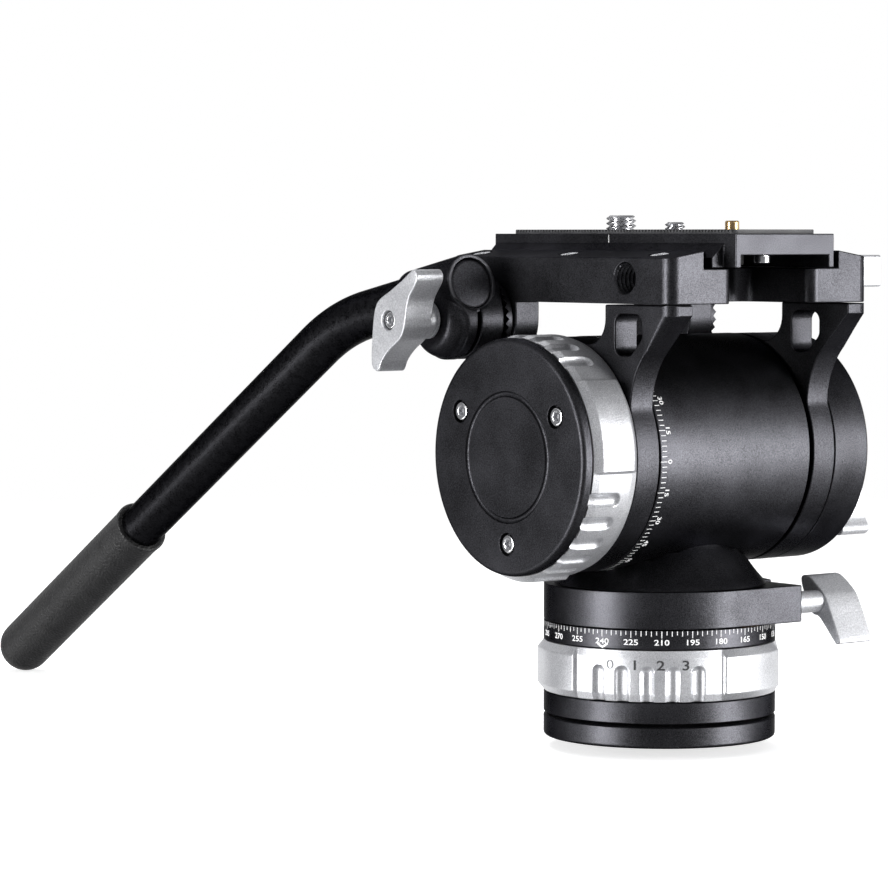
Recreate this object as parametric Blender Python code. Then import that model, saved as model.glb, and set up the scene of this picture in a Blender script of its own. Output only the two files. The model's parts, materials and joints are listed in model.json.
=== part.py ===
"""Fluid video head with pan base, horizontal tilt cylinder, quick release platform and pan handle.

The origin is the centre of the base's underside, on the pan axis. X is the tilt axis, -Y is the front and
+Z is up.
All sizes are in metres.
"""

import math

import bmesh
import bpy
from mathutils import Vector

# Clearances and mesh density
GAP = 0.0003
OVERRUN = 0.003
ROUND_SIDES = 40
MEDIUM_SIDES = 24
INNER_SIDES = 16
SMALL_SIDES = 12
ARC_STEPS = 3
CUTTER_TURN = math.radians(3.7)

# Pan base
BASE_RADIUS = 0.0365
BASE_PLATE_TOP = 0.0069
BASE_PLATE_CHAMFER = 0.0010
BASE_GROOVE_DEPTH = 0.0006
BASE_GROOVE_HEIGHT = 0.0007
COLLAR_TOP = 0.0142
RING_WALL = 0.0060
NECK_RADIUS = BASE_RADIUS - RING_WALL
NECK_WALL = 0.0065
BASE_BORE_RADIUS = NECK_RADIUS - NECK_WALL
BASE_FLOOR_THICKNESS = 0.0023
BUSHING_RADIUS = 0.0070
SOCKET_RADIUS = 0.0044
SPINDLE_RADIUS = 0.0090
STATOR_HEIGHT = 0.0120

# Silver drag rings
PAN_RING_WIDTH = 0.0157
TILT_RING_WIDTH = 0.0168
LOBE_HEIGHT = 0.0020
RECESS_HEIGHT = 0.0007
RING_CHAMFER = 0.0023
RING_LOBES = 3
RING_LOBE_ARC = math.radians(46)
RING_LOBE_FLANK = math.radians(1.5)
RING_LOBE_STEPS = 3
GROOVES_PER_SECTOR = 5
GROOVE_PITCH = math.radians(12.2)
GROOVE_WIDTH = 0.0043
GROOVE_LENGTH = 0.0110
GROOVE_DEPTH = 0.0016
GROOVE_FLANK = 0.0003
GROOVE_END_SHARE = 0.94
PAN_RING_TURN = math.radians(-137)
TILT_RING_TURN = math.radians(-47.5)

# Pan scale and housing
SCALE_RING_TOP = 0.0360
DRUM_TOP = 0.0482
NECK_RISES = (0.0014, 0.0038, 0.0067, 0.0133)
NECK_RADII = (0.0326, 0.0304, 0.0282, 0.0225)
NECK_END_DROP = 0.02367
DRUM_SHOULDER = 0.0029
DRUM_SHOULDER_RADIUS = BASE_RADIUS - DRUM_SHOULDER
BEARING_CAVITY_RADIUS = 0.0183
BEARING_CAVITY_TOP = 0.0500
PAN_BEARING_BOTTOM = 0.0380
PAN_BEARING_HEIGHT = 0.0060
SPINDLE_NUT_RADIUS = 0.0150
SPINDLE_NUT_HEIGHT = 0.0035

# Pan lock
EAR_REACH = 0.0274
EAR_START = 0.0030
EAR_DEPTH = 0.0200
LOCK_AXIS_INSET = 0.0061
LOCK_AXIS_Y = LOCK_AXIS_INSET - BASE_RADIUS
LOCK_AXIS_Z = 0.0420
LOCK_STUD_RADIUS = 0.0025
LOCK_STUD_START = 0.0033
LOCK_STUD_GRIP = 0.0055
LOCK_SHANK_RADIUS = 0.0035
LOCK_WING_START = 0.0392
LOCK_WING_END = 0.0534
LOCK_WING_REACH = 0.0150
PAD_NEAR = 0.0040
PAD_FAR = 0.0120
PAD_DEPTH = 0.0070
PAD_TOP = 0.0392
LEVER_BEVEL = 0.0007

# Tilt cylinder and axle
TILT_HEIGHT = 0.08967
CYLINDER_RADIUS = 0.0365
CYLINDER_LEFT = -0.0317
CYLINDER_RIGHT = 0.0303
CYLINDER_WALL = 0.0045
CYLINDER_BORE_RADIUS = CYLINDER_RADIUS - CYLINDER_WALL
WEB_HALF = 0.0080
SHAFT_RADIUS = 0.0060
SHAFT_LEFT = -0.0575
SHAFT_RIGHT = 0.0500
SPRING_RADIUS = 0.0150
SPRING_WIRE_RADIUS = 0.0015
SPRING_TURNS = 4
SPRING_STEPS = 12
SPRING_SIDES = 5
DAMPER_GAP = 0.0010
DAMPER_RADIUS = CYLINDER_BORE_RADIUS - DAMPER_GAP
DAMPER_SPLIT = 0.0198
BEARING_RADIUS = 0.0120

# Arms
ARM_INNER = 0.0320
ARM_OUTER = 0.0410
ARM_STEP = 0.0001
ARM_CLEARANCE = 0.01013
ARM_RADIUS = CYLINDER_RADIUS - ARM_STEP
ARM_RISE = CYLINDER_RADIUS + ARM_CLEARANCE
ARM_TOP = TILT_HEIGHT + ARM_RISE
ARM_NOSE = 0.0148
ARM_FRONT = ARM_RADIUS + ARM_NOSE
ARM_REAR = 0.0212
ARM_LIP_HEIGHT = 0.0031
ARM_WAIST_INSET = 0.0032
ARM_WAIST = ARM_RADIUS - ARM_WAIST_INSET
ARM_FRONT_FILLET = 0.0246
ARM_REAR_FILLET = 0.0080
ARM_ARC_STEPS = 32
ARM_BEVEL = 0.0005
SLOT_FRONT = 0.0381
SLOT_REAR = 0.0259
SLOT_DROP = 0.0028
SLOT_LENGTH = 0.0125
SLOT_TOP = ARM_TOP - SLOT_DROP
SLOT_BOTTOM = SLOT_TOP - SLOT_LENGTH
SLOT_CORNER_CUT = 0.0052
SLOT_ROUNDING = 0.0030

# Knob on the left arm
KNOB_FACE = -0.0620
KNOB_BACK = -0.0584
KNOB_RADIUS = ARM_RADIUS
KNOB_BEVEL = 0.0010
KNOB_GROOVE_INSET = 0.0162
KNOB_GROOVE_RADIUS = KNOB_RADIUS - KNOB_GROOVE_INSET
KNOB_GROOVE_WIDTH = 0.0020
KNOB_GROOVE_DEPTH = 0.0003
HUB_RADIUS = CYLINDER_RADIUS - RING_WALL
COVER_SCREWS = 3
COVER_SCREW_INSET = 0.0099
COVER_SCREW_CIRCLE = KNOB_RADIUS - COVER_SCREW_INSET
COVER_SCREW_FIRST = math.radians(-90)
COVER_SCREW_HEAD = 0.00275
COVER_SCREW_SHANK = 0.0015
COVER_SCREW_RECESS = 0.0035
COVER_RECESS_DEPTH = 0.0018
COVER_SCREW_LENGTH = 0.0080
HEXAGON_RADIUS = 0.0015
HEXAGON_DEPTH = 0.0010

# Flange and tilt lock on the right arm
FLANGE_STEP = 0.00005
FLANGE_RADIUS = ARM_RADIUS - FLANGE_STEP
FLANGE_END = 0.05595
FLANGE_BEVEL = 0.0010
FLANGE_WALL = 0.00835
FLANGE_POCKET_RADIUS = FLANGE_RADIUS - FLANGE_WALL
BRAKE_END = 0.0497
TILT_LOCK_Y = -0.0070
TILT_LOCK_DROP = 0.0147
TILT_LOCK_STUD_RADIUS = 0.0025
TILT_LOCK_HUB_RADIUS = 0.0059
TILT_LOCK_WING_START = 0.0625
TILT_LOCK_WING_END = 0.0745
TILT_LOCK_TURN = math.radians(-60)

# Platform
PLATFORM_BOTTOM = ARM_TOP + GAP
EDGE_HEIGHT = 0.0139
LIP_HEIGHT = 0.0160
FLOOR_HEIGHT = 0.0106
PLATFORM_EDGE_TOP = PLATFORM_BOTTOM + EDGE_HEIGHT
PLATFORM_LIP_TOP = PLATFORM_BOTTOM + LIP_HEIGHT
PLATFORM_FLOOR = PLATFORM_BOTTOM + FLOOR_HEIGHT
PLATFORM_HALF = ARM_OUTER
PLATFORM_REAR = 0.0540
PLATFORM_CORNER = 0.0040
CHANNEL_HALF = 0.0277
NOTCH_HALF = 0.0160
NOTCH_REAR = -0.0210
NOTCH_CORNER = 0.0050
ACCESSORY_RADIUS = 0.00476
ACCESSORY_DEPTH = 0.0085
ACCESSORY_Y = -0.0303
ACCESSORY_DROP = 0.0063
ACCESSORY_Z = PLATFORM_EDGE_TOP - ACCESSORY_DROP
RAIL_SCREW_INSET = 0.0073
RAIL_SCREW_X = PLATFORM_HALF - RAIL_SCREW_INSET
RAIL_SCREW_PLACES = (-0.0380, 0.0043, 0.0477)
RAIL_RECESS_RADIUS = 0.0033
RAIL_RECESS_DROP = 0.0009
RAIL_RECESS_FLOOR = PLATFORM_FLOOR - RAIL_RECESS_DROP
RAIL_HEAD_RADIUS = 0.0029
RAIL_HEAD_HEIGHT = 0.0028
RAIL_SHANK_RADIUS = 0.0016
RAIL_SHANK_LENGTH = 0.0070
LUG_THICKNESS = 0.0093
LUG_INNER = PLATFORM_HALF - LUG_THICKNESS
HINGE_Y = 0.0355
HINGE_DROP = 0.0056
HINGE_Z = PLATFORM_BOTTOM - HINGE_DROP
LUG_RADIUS = 0.0141
ROSETTE_RADIUS = 0.0130
ROSETTE_THICKNESS = 0.0030
ROSETTE_OUTER = PLATFORM_HALF + ROSETTE_THICKNESS
ROSETTE_TEETH = 24
ROSETTE_TOOTH_DEPTH = 0.0008
ROSETTE_HUB_RADIUS = 0.0060
HINGE_STUD_RADIUS = 0.0030

# Quick release clamp
JAW_FOOT_INNER = 0.0248
JAW_TIP_INNER = 0.0228
JAW_TIP_DROP = 0.0003
JAW_SHOULDER_DROP = 0.0020
JAW_TOP = PLATFORM_LIP_TOP - JAW_TIP_DROP
JAW_SHOULDER = PLATFORM_LIP_TOP - JAW_SHOULDER_DROP
JAW_OUTER = 0.0264
JAW_FRONT = -0.0470
JAW_REAR = 0.0470
JAW_TONGUE_HALF = 0.0045
TONGUE_DEPTH = 0.0037
JAW_TONGUE_BOTTOM = PLATFORM_FLOOR - TONGUE_DEPTH
CLAMP_AXIS_Y = -0.0318
CLAMP_AXIS_DROP = 0.0012
CLAMP_AXIS_Z = PLATFORM_FLOOR - CLAMP_AXIS_DROP
CLAMP_STUD_RADIUS = 0.0018
CLAMP_STUD_GRIP = 0.0030
CLAMP_TRAVEL = 0.0009
CLAMP_HUB_RADIUS = 0.0050
CLAMP_LEVER_START = 0.0480
CLAMP_LEVER_END = 0.0593
CLAMP_LEVER_HALF_HEIGHT = 0.0050
CLAMP_LEVER_FRONT = 0.0050
CLAMP_LEVER_LENGTH = 0.0380
CLAMP_LEVER_ROUNDING = 0.0015

# Quick release plate
PLATE_HALF = 0.0202
STRIP_THICKNESS = 0.0029
FLARE_HEIGHT = 0.0043
FOOT_HEIGHT = 0.0030
PLATE_FOOT_HALF = 0.0244
PLATE_LEG_INNER = 0.0181
LEG_LENGTH = 0.0038
PLATE_BOTTOM = PLATFORM_FLOOR + GAP
PLATE_FOOT_TOP = PLATE_BOTTOM + FOOT_HEIGHT
PLATE_STRIP_BOTTOM = PLATE_FOOT_TOP + FLARE_HEIGHT
PLATE_TOP = PLATE_STRIP_BOTTOM + STRIP_THICKNESS
PLATE_UNDERSIDE = PLATE_BOTTOM + LEG_LENGTH
PLATE_FRONT = -0.0570
PLATE_REAR = 0.0578
FOOT_FRONT = -0.0510
PLATE_SLOT_HALF = 0.0051
PLATE_SLOT_FRONT = -0.0140
PLATE_SLOT_REAR = 0.0270
RUBBER_THICKNESS = 0.0013
RUBBER_HALF_LENGTH = 0.0525
RUBBER_HALF_WIDTH = 0.0170
RUBBER_ROUNDING = 0.0020
LARGE_SCREW_Y = 0.0190
LARGE_SCREW_RADIUS = 0.00476
LARGE_SCREW_HEIGHT = 0.0058
LARGE_SCREW_TOP = PLATE_TOP + LARGE_SCREW_HEIGHT
SMALL_SCREW_Y = -0.0068
SMALL_SCREW_RADIUS = 0.00318
SMALL_SCREW_HEIGHT = 0.0036
SMALL_SCREW_TOP = PLATE_TOP + SMALL_SCREW_HEIGHT
SCREW_HEAD_HEIGHT = 0.0020
LARGE_HEAD_RADIUS = 0.0075
SMALL_HEAD_RADIUS = 0.0070
SCREW_CHAMFER = 0.0007
PIN_Y = -0.0331
PIN_RADIUS = 0.0022
PIN_HEIGHT = 0.0040
PIN_TOP = PLATE_TOP + PIN_HEIGHT
PIN_COLLAR_RADIUS = 0.0030
PIN_COLLAR_HEIGHT = 0.0012
PIN_STEM_RADIUS = 0.0012
PIN_LEDGE = 0.0015
PIN_COLLAR_TOP = PLATE_TOP - PIN_LEDGE
PIN_BOSS_RADIUS = 0.0050
PIN_BOSS_DEPTH = 0.0031
PIN_BOSS_BOTTOM = PLATE_UNDERSIDE - PIN_BOSS_DEPTH
PIN_BOSS_FLOOR = 0.0006
PIN_SPRING_WIRE = 0.0003
PIN_SPRING_RADIUS = 0.0022
PIN_SPRING_TURNS = 3
PIN_SPRING_STEPS = 8
STOP_SCREW_Y = -0.0480
STOP_HEAD_RADIUS = 0.0025
STOP_HEAD_HEIGHT = 0.0025
STOP_HEAD_BOTTOM = PLATE_UNDERSIDE - STOP_HEAD_HEIGHT
STOP_SHANK_RADIUS = 0.0013
STOP_SHANK_REACH = 0.0037
STOP_SHANK_TOP = PLATE_UNDERSIDE + STOP_SHANK_REACH

# Handle
HANDLE_X = -0.0550
FRONT_SLOPE = math.radians(11.2)
REAR_SLOPE = math.radians(31.9)
SLEEVE_RISE = 0.0093
SLEEVE_FRONT = 0.0117
SLEEVE_LENGTH = 0.0280
SLEEVE_RADIUS = 0.0094
CAP_RIM_WIDTH = 0.0014
CAP_DEPTH = 0.0030
CAP_DOME = 0.0008
TUBE_RADIUS = 0.00775
TUBE_WALL = 0.0015
BEND_DISTANCE = 0.0694
BEND_RADIUS = 0.0820
BEND_STEPS = 6
REAR_LENGTH = 0.1368
GRIP_RADIUS = 0.0094
GRIP_LENGTH = 0.0958
GRIP_DOME_STEPS = 5
GRIP_EDGE = 0.0010
TUBE_IN_GRIP = 0.0800
CLAMP_BODY_RADIUS = 0.0125
CLAMP_BODY_END = -0.0585
CLAMP_BODY_ROUNDING = 0.0015
CLAMP_BOSS_RADIUS = 0.0077
CLAMP_BOSS_END = -0.0640
CLAMP_SLIT_WIDTH = 0.0016
CLAMP_SLIT_X = -0.0540
HANDLE_LEVER_HUB_RADIUS = 0.0059
HANDLE_WING_START = -0.0700
HANDLE_WING_END = -0.0804
HANDLE_WING_REACH = 0.0165
HANDLE_SCREW_RADIUS = 0.0025
HANDLE_SCREW_LENGTH = 0.0060
HANDLE_SCREW_SHANK = 0.0020

# Outlines of the cast levers, as shares of their reach from the hub's centre
LOCK_WING_SHARES = (
    (0.47, 0.49), (0.23, 0.49), (-0.13, 0.24), (-0.29, 0.05), (-0.50, -0.36), (-0.69, -0.77),
    (-0.63, -0.84), (-0.08, -0.35), (0.16, -0.25), (0.44, 0.24),
)
HANDLE_WING_SHARES = (
    (-0.74, 0.95), (-0.86, 0.90), (-0.89, 0.80), (-0.83, 0.67), (-0.62, 0.39), (-0.53, 0.01),
    (-0.47, -0.18),
    (-0.34, -0.36), (-0.03, -0.56), (0.18, -0.75), (0.29, -0.93), (0.39, -0.96), (0.50, -0.88),
    (0.53, -0.73),
    (0.52, -0.48), (0.47, -0.01), (0.40, 0.24), (0.28, 0.39), (-0.04, 0.55), (-0.41, 0.75),
)

# Colour, roughness and metallic value of each finish
FINISHES = {
    "black_aluminium": ((0.012, 0.012, 0.013), 0.42, 0.6),
    "black_casting": ((0.014, 0.014, 0.015), 0.48, 0.5),
    "silver_aluminium": ((0.72, 0.73, 0.74), 0.34, 1.0),
    "silver_casting": ((0.62, 0.63, 0.65), 0.38, 1.0),
    "steel": ((0.55, 0.56, 0.58), 0.25, 1.0),
    "dark_steel": ((0.10, 0.10, 0.11), 0.35, 1.0),
    "brass": ((0.62, 0.42, 0.16), 0.28, 1.0),
    "rubber": ((0.020, 0.020, 0.021), 0.85, 0.0),
    "bearing_bronze": ((0.45, 0.30, 0.14), 0.40, 1.0),
    "white_damper": ((0.60, 0.60, 0.57), 0.50, 0.0),
    "white_marking": ((0.80, 0.80, 0.80), 0.60, 0.0),
}

shaping_tools = {}


def clear_scene():
    for item in list(bpy.data.objects):
        bpy.data.objects.remove(item)


def finish_material(node_name, finish):
    colour, roughness, metallic = FINISHES[finish]
    material = bpy.data.materials.new(node_name + "_" + finish)
    material.use_nodes = True
    shader = material.node_tree.nodes["Principled BSDF"]
    shader.inputs["Base Color"].default_value = (*colour, 1.0)
    shader.inputs["Roughness"].default_value = roughness
    shader.inputs["Metallic"].default_value = metallic
    return material


def make_object(name, shape, finish, place):
    """Turns a closed bmesh into a named object with smooth round faces and its own material."""
    bmesh.ops.recalc_face_normals(shape, faces=shape.faces)
    mesh = bpy.data.meshes.new(name)
    shape.to_mesh(mesh)
    shape.free()
    mesh.shade_smooth()
    mesh.set_sharp_from_angle(angle=math.radians(35))
    mesh.materials.append(finish_material(name, finish))
    item = bpy.data.objects.new(name, mesh)
    item.location = place
    bpy.context.scene.collection.objects.link(item)
    return item


def along(axis, first, second, height):
    """Point with two coordinates across an axis and a height along it."""
    if axis == "X":
        return (height, first, second)
    if axis == "Y":
        return (first, height, second)
    return (first, second, height)


def bridge_rings(shape, lower, upper):
    """Faces between two rings of vertices, either of which may be a single point on the axis."""
    count = max(len(lower), len(upper))
    for step in range(count):
        following = (step + 1) % count
        if len(lower) == 1:
            shape.faces.new((lower[0], upper[step], upper[following]))
        elif len(upper) == 1:
            shape.faces.new((lower[step], lower[following], upper[0]))
        else:
            shape.faces.new((lower[step], lower[following], upper[following], upper[step]))


def turned(name, profile, sides, finish, axis="Z", place=(0, 0, 0), first=0):
    """Body turned from (radius, height) points. A profile that starts and ends on the axis is solid."""
    shape = bmesh.new()
    rings = []
    for radius, height in profile:
        if radius == 0:
            rings.append([shape.verts.new(along(axis, 0, 0, height))])
            continue
        ring = []
        for step in range(sides):
            angle = first + math.tau * step / sides
            ring.append(shape.verts.new(along(axis, radius * math.cos(angle), radius * math.sin(angle),
                                              height)))
        rings.append(ring)
    hollow = profile[0][0] > 0
    for lower, upper in zip(rings, rings[1:]):
        bridge_rings(shape, lower, upper)
    if hollow:
        bridge_rings(shape, rings[-1], rings[0])
    return make_object(name, shape, finish, place)


def solid_profile(*points):
    """Closes a list of (radius, height) points onto the axis at both ends."""
    return [(0, points[0][1]), *points, (0, points[-1][1])]


def tube_profile(inner, outer, low, high):
    return [(inner, low), (outer, low), (outer, high), (inner, high)]


def prism(name, outline, low, high, finish, axis="X", place=(0, 0, 0)):
    """Body with a flat outline across an axis, from one height to another."""
    shape = bmesh.new()
    lower = [shape.verts.new(along(axis, first, second, low)) for first, second in outline]
    upper = [shape.verts.new(along(axis, first, second, high)) for first, second in outline]
    shape.faces.new(lower)
    shape.faces.new(upper)
    bridge_rings(shape, lower, upper)
    return make_object(name, shape, finish, place)


def box_outline(low_first, high_first, low_second, high_second):
    return [(low_first, low_second), (high_first, low_second),
            (high_first, high_second), (low_first, high_second)]


def circle_arc(centre, radius, start, end, steps):
    """Points on an arc, both ends included."""
    points = []
    for step in range(steps + 1):
        angle = start + (end - start) * step / steps
        points.append((centre[0] + radius * math.cos(angle), centre[1] + radius * math.sin(angle)))
    return points


def rounded(corners, radius, steps=ARC_STEPS):
    """Outline with every corner replaced by an arc of one radius."""
    points = []
    for index, corner in enumerate(corners):
        here = Vector(corner)
        back = (Vector(corners[index - 1]) - here).normalized()
        ahead = (Vector(corners[(index + 1) % len(corners)]) - here).normalized()
        half = back.angle(ahead) / 2
        centre = here + (back + ahead).normalized() * radius / math.sin(half)
        start = here + back * radius / math.tan(half) - centre
        end = here + ahead * radius / math.tan(half) - centre
        turn = start.angle_signed(end)
        first = math.atan2(start.y, start.x)
        points += circle_arc(centre, radius, first, first - turn, steps)
    return points


def shape_with(target, tools, operation):
    """One Boolean step with a collection of hidden guide bodies."""
    group = bpy.data.collections.new(target.name + "_" + operation.lower())
    for tool in tools:
        tool.hide_render = True
        tool.display_type = "WIRE"
        group.objects.link(tool)
    step = target.modifiers.new(group.name, "BOOLEAN")
    step.operation = operation
    step.solver = "EXACT"
    step.operand_type = "COLLECTION"
    step.collection = group
    shaping_tools.setdefault(target.name, []).extend(tools)


def cut(target, *tools):
    shape_with(target, tools, "DIFFERENCE")


def join(target, *tools):
    shape_with(target, tools, "UNION")


def soften(item, width, segments=1):
    bevel = item.modifiers.new("soft_edges", "BEVEL")
    bevel.width = width
    bevel.segments = segments
    bevel.limit_method = "ANGLE"
    bevel.angle_limit = math.radians(40)


def pivot(name, place, parent=None):
    empty = bpy.data.objects.new(name, None)
    bpy.context.scene.collection.objects.link(empty)
    empty.location = place
    if parent:
        empty.parent = parent
        empty.location = Vector(place) - world_place(parent)
    return empty


def world_place(item):
    place = Vector(item.location)
    while item.parent:
        item = item.parent
        place += item.location
    return place


def attach(parent, *items):
    """Hangs bodies and their guide bodies on a pivot without moving them."""
    for item in items:
        for part in [item] + shaping_tools.get(item.name, []):
            part.location = Vector(part.location) - world_place(parent)
            part.parent = parent
            for inner in shaping_tools.get(part.name, []) if part is not item else []:
                inner.location = Vector(inner.location) - world_place(parent)
                inner.parent = parent


def hexagon_share(angle):
    """Distance of a hexagon's edge from its centre, as a share of its corner radius."""
    side = math.tau / 6
    return math.cos(side / 2) / math.cos(angle % side - side / 2)


def socket_screw(name, axis, place, head, shank, finish, inward=1):
    """Cap screw: head from zero to its height, shank behind it, hexagon recess in the head.

    head is (radius, height) and shank is (radius, length). inward is the side of the shank along the axis.
    """
    head_radius, head_height = head
    shank_radius, shank_length = shank
    shape = bmesh.new()
    levels = (
        (0, HEXAGON_DEPTH, False),
        (HEXAGON_RADIUS, HEXAGON_DEPTH, True),
        (HEXAGON_RADIUS, 0, True),
        (head_radius, 0, False),
        (head_radius, head_height, False),
        (shank_radius, head_height, False),
        (shank_radius, head_height + shank_length, False),
        (0, head_height + shank_length, False),
    )
    rings = []
    for radius, depth, hexagonal in levels:
        ring = []
        for step in range(SMALL_SIDES if radius else 1):
            angle = math.tau * step / SMALL_SIDES
            reach = radius * (hexagon_share(angle) if hexagonal else 1)
            point = along(axis, reach * math.cos(angle), reach * math.sin(angle), inward * depth)
            ring.append(shape.verts.new(point))
        rings.append(ring)
    for lower, upper in zip(rings, rings[1:]):
        bridge_rings(shape, lower, upper)
    return make_object(name, shape, finish, place)


def ring_angles(edge_radius, half_width):
    """Angles round a drag ring with the radius that each has beside and in the grooves."""
    recess_radius = edge_radius + RECESS_HEIGHT
    sector = math.tau / RING_LOBES
    recess = sector - RING_LOBE_ARC
    flank = GROOVE_FLANK / recess_radius
    spread = half_width / recess_radius
    floor = recess_radius - GROOVE_DEPTH
    stations = []
    for lobe in range(RING_LOBES):
        middle = lobe * sector
        stations.append((middle - recess / 2, recess_radius))
        for groove in range(GROOVES_PER_SECTOR):
            centre = middle + (groove - (GROOVES_PER_SECTOR - 1) / 2) * GROOVE_PITCH
            stations.append((centre - spread - flank, recess_radius))
            stations.append((centre - spread, floor))
            stations.append((centre + spread, floor))
            stations.append((centre + spread + flank, recess_radius))
        stations.append((middle + recess / 2, recess_radius))
        start = middle + recess / 2 + RING_LOBE_FLANK
        span = RING_LOBE_ARC - 2 * RING_LOBE_FLANK
        for step in range(RING_LOBE_STEPS + 1):
            stations.append((start + span * step / RING_LOBE_STEPS, edge_radius + LOBE_HEIGHT))
    return stations


def drag_ring(name, width, edge_radius, axis_turn, finish):
    """Ring about Z from height zero up, with raised lobes and finger grooves that open at its lower edge."""
    half = GROOVE_WIDTH / 2
    bore_radius = edge_radius - RING_WALL + GAP
    round_start = GROOVE_LENGTH - half
    levels = [
        (0, half, True),
        (RING_CHAMFER, half, True),
        (round_start, half, True),
        (round_start + half * GROOVE_END_SHARE, half * math.sqrt(1 - GROOVE_END_SHARE ** 2), True),
        (GROOVE_LENGTH + GROOVE_FLANK, half * math.sqrt(1 - GROOVE_END_SHARE ** 2), False),
        (width - RING_CHAMFER, half, False),
        (width, half, False),
    ]
    shape = bmesh.new()
    rings = []
    for height, half_width, grooved in levels:
        at_edge = height in (0, width)
        ring = []
        for angle, radius in ring_angles(edge_radius, half_width):
            if not grooved:
                radius = max(radius, edge_radius + RECESS_HEIGHT)
            if at_edge:
                radius = min(radius, edge_radius)
            turn = angle + axis_turn
            ring.append(shape.verts.new((radius * math.cos(turn), radius * math.sin(turn), height)))
        rings.append(ring)
    for height in (width, 0):
        ring = []
        for angle, radius in ring_angles(edge_radius, half):
            turn = angle + axis_turn
            ring.append(shape.verts.new((bore_radius * math.cos(turn), bore_radius * math.sin(turn),
                                         height)))
        rings.append(ring)
    for lower, upper in zip(rings, rings[1:] + rings[:1]):
        bridge_rings(shape, lower, upper)
    return make_object(name, shape, finish, (0, 0, 0))


def swept(name, path, sides, outer, inner, finish, place):
    """Round tube or rod along points in space. An inner radius of zero makes a rod."""
    shape = bmesh.new()
    skins = []
    for radius in (outer, inner):
        if radius == 0:
            continue
        skin = []
        for index, point in enumerate(path):
            before = path[max(index - 1, 0)]
            after = path[min(index + 1, len(path) - 1)]
            ahead = (after - before).normalized()
            across = ahead.orthogonal().normalized() if index == 0 else side - ahead * side.dot(ahead)
            side = across.normalized()
            up = ahead.cross(side)
            ring = []
            for step in range(sides):
                angle = math.tau * step / sides
                ring.append(shape.verts.new(point + radius * (side * math.cos(angle) + up * math.sin(angle))))
            skin.append(ring)
        skins.append(skin)
    for skin in skins:
        for lower, upper in zip(skin, skin[1:]):
            bridge_rings(shape, lower, upper)
    if len(skins) == 2:
        bridge_rings(shape, skins[0][0], skins[1][0])
        bridge_rings(shape, skins[0][-1], skins[1][-1])
    else:
        shape.faces.new(skins[0][0])
        shape.faces.new(skins[0][-1])
    return make_object(name, shape, finish, place)


def helix(axis, radius, turns, steps, low, high):
    points = []
    total = turns * steps
    for step in range(total + 1):
        angle = math.tau * step / steps
        height = low + (high - low) * step / total
        points.append(Vector(along(axis, radius * math.cos(angle), radius * math.sin(angle), height)))
    return points


def corner_cutter(name, x, y, radius, low, high, finish):
    """Guide that rounds a vertical corner. The signs of x and y give the corner's side."""
    side_x = math.copysign(1, x)
    side_y = math.copysign(1, y)
    arc = circle_arc((0, 0), radius, 0, math.pi / 2, ARC_STEPS + 2)
    points = [(x + side_x * (a - radius), y + side_y * (b - radius)) for a, b in arc]
    points.append((x - side_x * radius, y + side_y * OVERRUN))
    points.append((x + side_x * OVERRUN, y + side_y * OVERRUN))
    points.append((x + side_x * OVERRUN, y - side_y * radius))
    return prism(name, points, low, high, finish, "Z")


def rod_cutter(name, radius, low, high, axis, place, sides=SMALL_SIDES):
    return turned(name, solid_profile((radius, low), (radius, high)), sides, "steel", axis, place,
                  CUTTER_TURN)


def wing(name, shares, reach, low, high, turn, finish, place):
    """Cast lever blade: a smooth outline across X, thick along X."""
    outline = []
    for y_share, z_share in shares:
        y = reach * (y_share * math.cos(turn) - z_share * math.sin(turn))
        z = reach * (y_share * math.sin(turn) + z_share * math.cos(turn))
        outline.append((y, z))
    blade = prism(name, outline, low, high, finish, "X", place)
    soften(blade, LEVER_BEVEL)
    return blade


# Pan base

def build_base():
    groove_low = BASE_PLATE_TOP - BASE_GROOVE_HEIGHT
    body_low = BASE_PLATE_TOP + GAP
    plate = turned("base_plate", [
        (BUSHING_RADIUS + GAP, 0),
        (BASE_RADIUS - BASE_PLATE_CHAMFER, 0),
        (BASE_RADIUS, BASE_PLATE_CHAMFER),
        (BASE_RADIUS, groove_low),
        (BASE_RADIUS - BASE_GROOVE_DEPTH, BASE_PLATE_TOP),
        (BUSHING_RADIUS + GAP, BASE_PLATE_TOP),
    ], ROUND_SIDES, "black_aluminium")
    bushing = turned("tripod_bushing", tube_profile(SOCKET_RADIUS, BUSHING_RADIUS, GAP, BASE_PLATE_TOP),
                     INNER_SIDES, "brass")
    floor = body_low + BASE_FLOOR_THICKNESS
    collar = turned("base_body", [
        (SPINDLE_RADIUS + GAP, body_low),
        (BASE_RADIUS - BASE_GROOVE_DEPTH, body_low),
        (BASE_RADIUS, body_low + BASE_GROOVE_HEIGHT),
        (BASE_RADIUS, COLLAR_TOP),
        (NECK_RADIUS, COLLAR_TOP),
        (NECK_RADIUS, SCALE_RING_TOP),
        (BASE_BORE_RADIUS, SCALE_RING_TOP),
        (BASE_BORE_RADIUS, floor),
        (SPINDLE_RADIUS + GAP, floor),
    ], ROUND_SIDES, "black_aluminium")
    ring_low = COLLAR_TOP + GAP
    scale_ring = turned("pan_scale_ring", tube_profile(
        NECK_RADIUS + GAP, BASE_RADIUS, ring_low + PAN_RING_WIDTH + GAP, SCALE_RING_TOP), ROUND_SIDES,
        "black_aluminium")
    ring = drag_ring("pan_drag_ring", PAN_RING_WIDTH, BASE_RADIUS, PAN_RING_TURN, "silver_aluminium")
    ring.location.z = ring_low
    return [plate, bushing, collar, scale_ring, ring]


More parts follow.
